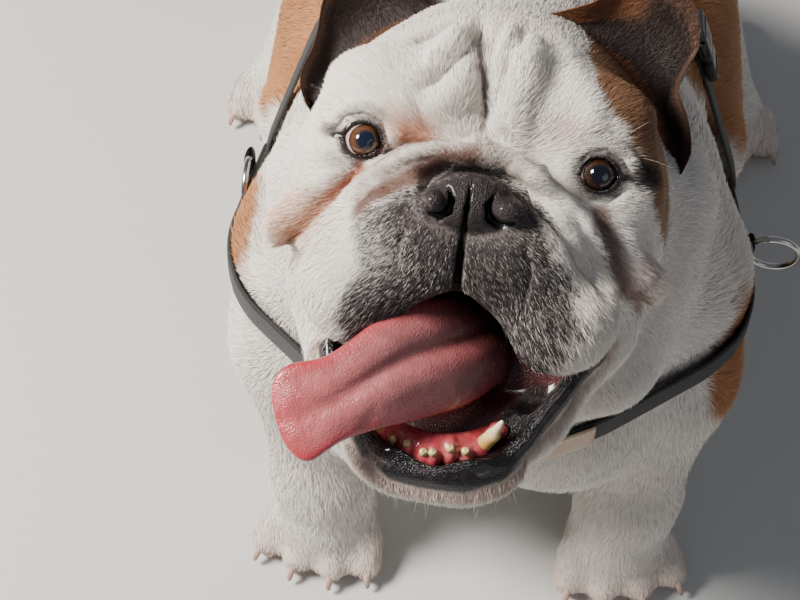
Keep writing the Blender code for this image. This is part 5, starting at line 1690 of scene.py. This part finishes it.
buckle_mesh, _ = clay_mesh("side_release_buckle", buckle_clay)
plastic_stuff, add, sums, feed = new_material("black_plastic")
grain = add("TexNoise", Vector=add("TexCoord", 3), Scale=2600.0, Detail=2.0)
rubbed = add("TexNoise", Vector=add("TexCoord", 3), Scale=160.0, Detail=5.0)
feed(
    Base_Color=mixed(add, rubbed, (0.006, 0.006, 0.007), (0.040, 0.040, 0.042)),
    Roughness=sums("MULTIPLY_ADD", rubbed, 0.35, 0.25),
    Normal=add("Bump", Strength=0.25, Distance=0.0002, Height=grain),
)
buckle_mesh.materials.append(plastic_stuff)
fitted("side_release_buckle", buckle_mesh, "webbing", "buckle")

# ---------------------------------------------------------------- camera, floor and light
# A lens looks down at the raised face from in front and a little to the dog's left. The dog sits on a plain
# matt floor, lit by a warm key lamp on its right, a weak fill on its left and the room's own dim light.

RAISED = math.radians(61)
ROUND = math.radians(5)
AWAY = 1.2
PIXELS_PER_RADIAN = 2170.0
PICTURE_WIDTH = 800
FACE_OFF_CENTRE = (80, 143)
outward = Vector((math.sin(ROUND) * math.cos(RAISED), -math.cos(ROUND) * math.cos(RAISED), math.sin(RAISED)))
rightward = Vector((math.cos(ROUND), math.sin(ROUND), 0))
upward = outward.cross(rightward)
lens = bpy.data.cameras.new("camera")
lens.sensor_width = 36
lens.lens = PIXELS_PER_RADIAN / PICTURE_WIDTH * 36
lens.clip_start = 0.05
lens.clip_end = 30
across, up = [pixels / PIXELS_PER_RADIAN * AWAY for pixels in FACE_OFF_CENTRE]
place = FACE.translation + outward * AWAY - rightward * across - upward * up
camera = bpy.data.objects.new("camera", lens)
camera.matrix_world = Matrix.Translation(place) @ Matrix((rightward, upward, outward)).transposed().to_4x4()
bpy.context.scene.collection.objects.link(camera)
bpy.context.scene.camera = camera

floor_mesh = bpy.data.meshes.new("floor")
floor_mesh.from_pydata([(-6, -6, 0), (6, -6, 0), (6, 6, 0), (-6, 6, 0)], [], [(0, 1, 2, 3)])
floor_mesh.materials.append(new_material("floor", Base_Color=(0.62, 0.62, 0.60, 1), Roughness=0.9)[0])
floor = bpy.data.objects.new("floor", floor_mesh)
bpy.context.scene.collection.objects.link(floor)

world = bpy.data.worlds.new("room")
world.use_nodes = True
world.node_tree.nodes["Background"].inputs["Color"].default_value = (0.80, 0.86, 1.0, 1)
world.node_tree.nodes["Background"].inputs["Strength"].default_value = 0.165
bpy.context.scene.world = world

LAMPS = (
    # name, place, size, watts and colour of each square soft light
    ("key", (-1.5, -0.2, 1.9), 0.7, 131, (1.0, 0.955, 0.90)),
    ("fill", (1.6, -1.4, 1.6), 1.6, 5, (0.90, 0.95, 1.0)),
)
for name, place, size, watts, colour in LAMPS:
    lamp = bpy.data.lights.new(name, "AREA")
    lamp.size = size
    lamp.energy = watts
    lamp.color = colour
    light = bpy.data.objects.new(name, lamp)
    light.location = place
    light.rotation_euler = (FACE.translation - Vector(place)).to_track_quat("-Z", "Y").to_euler()
    bpy.context.scene.collection.objects.link(light)
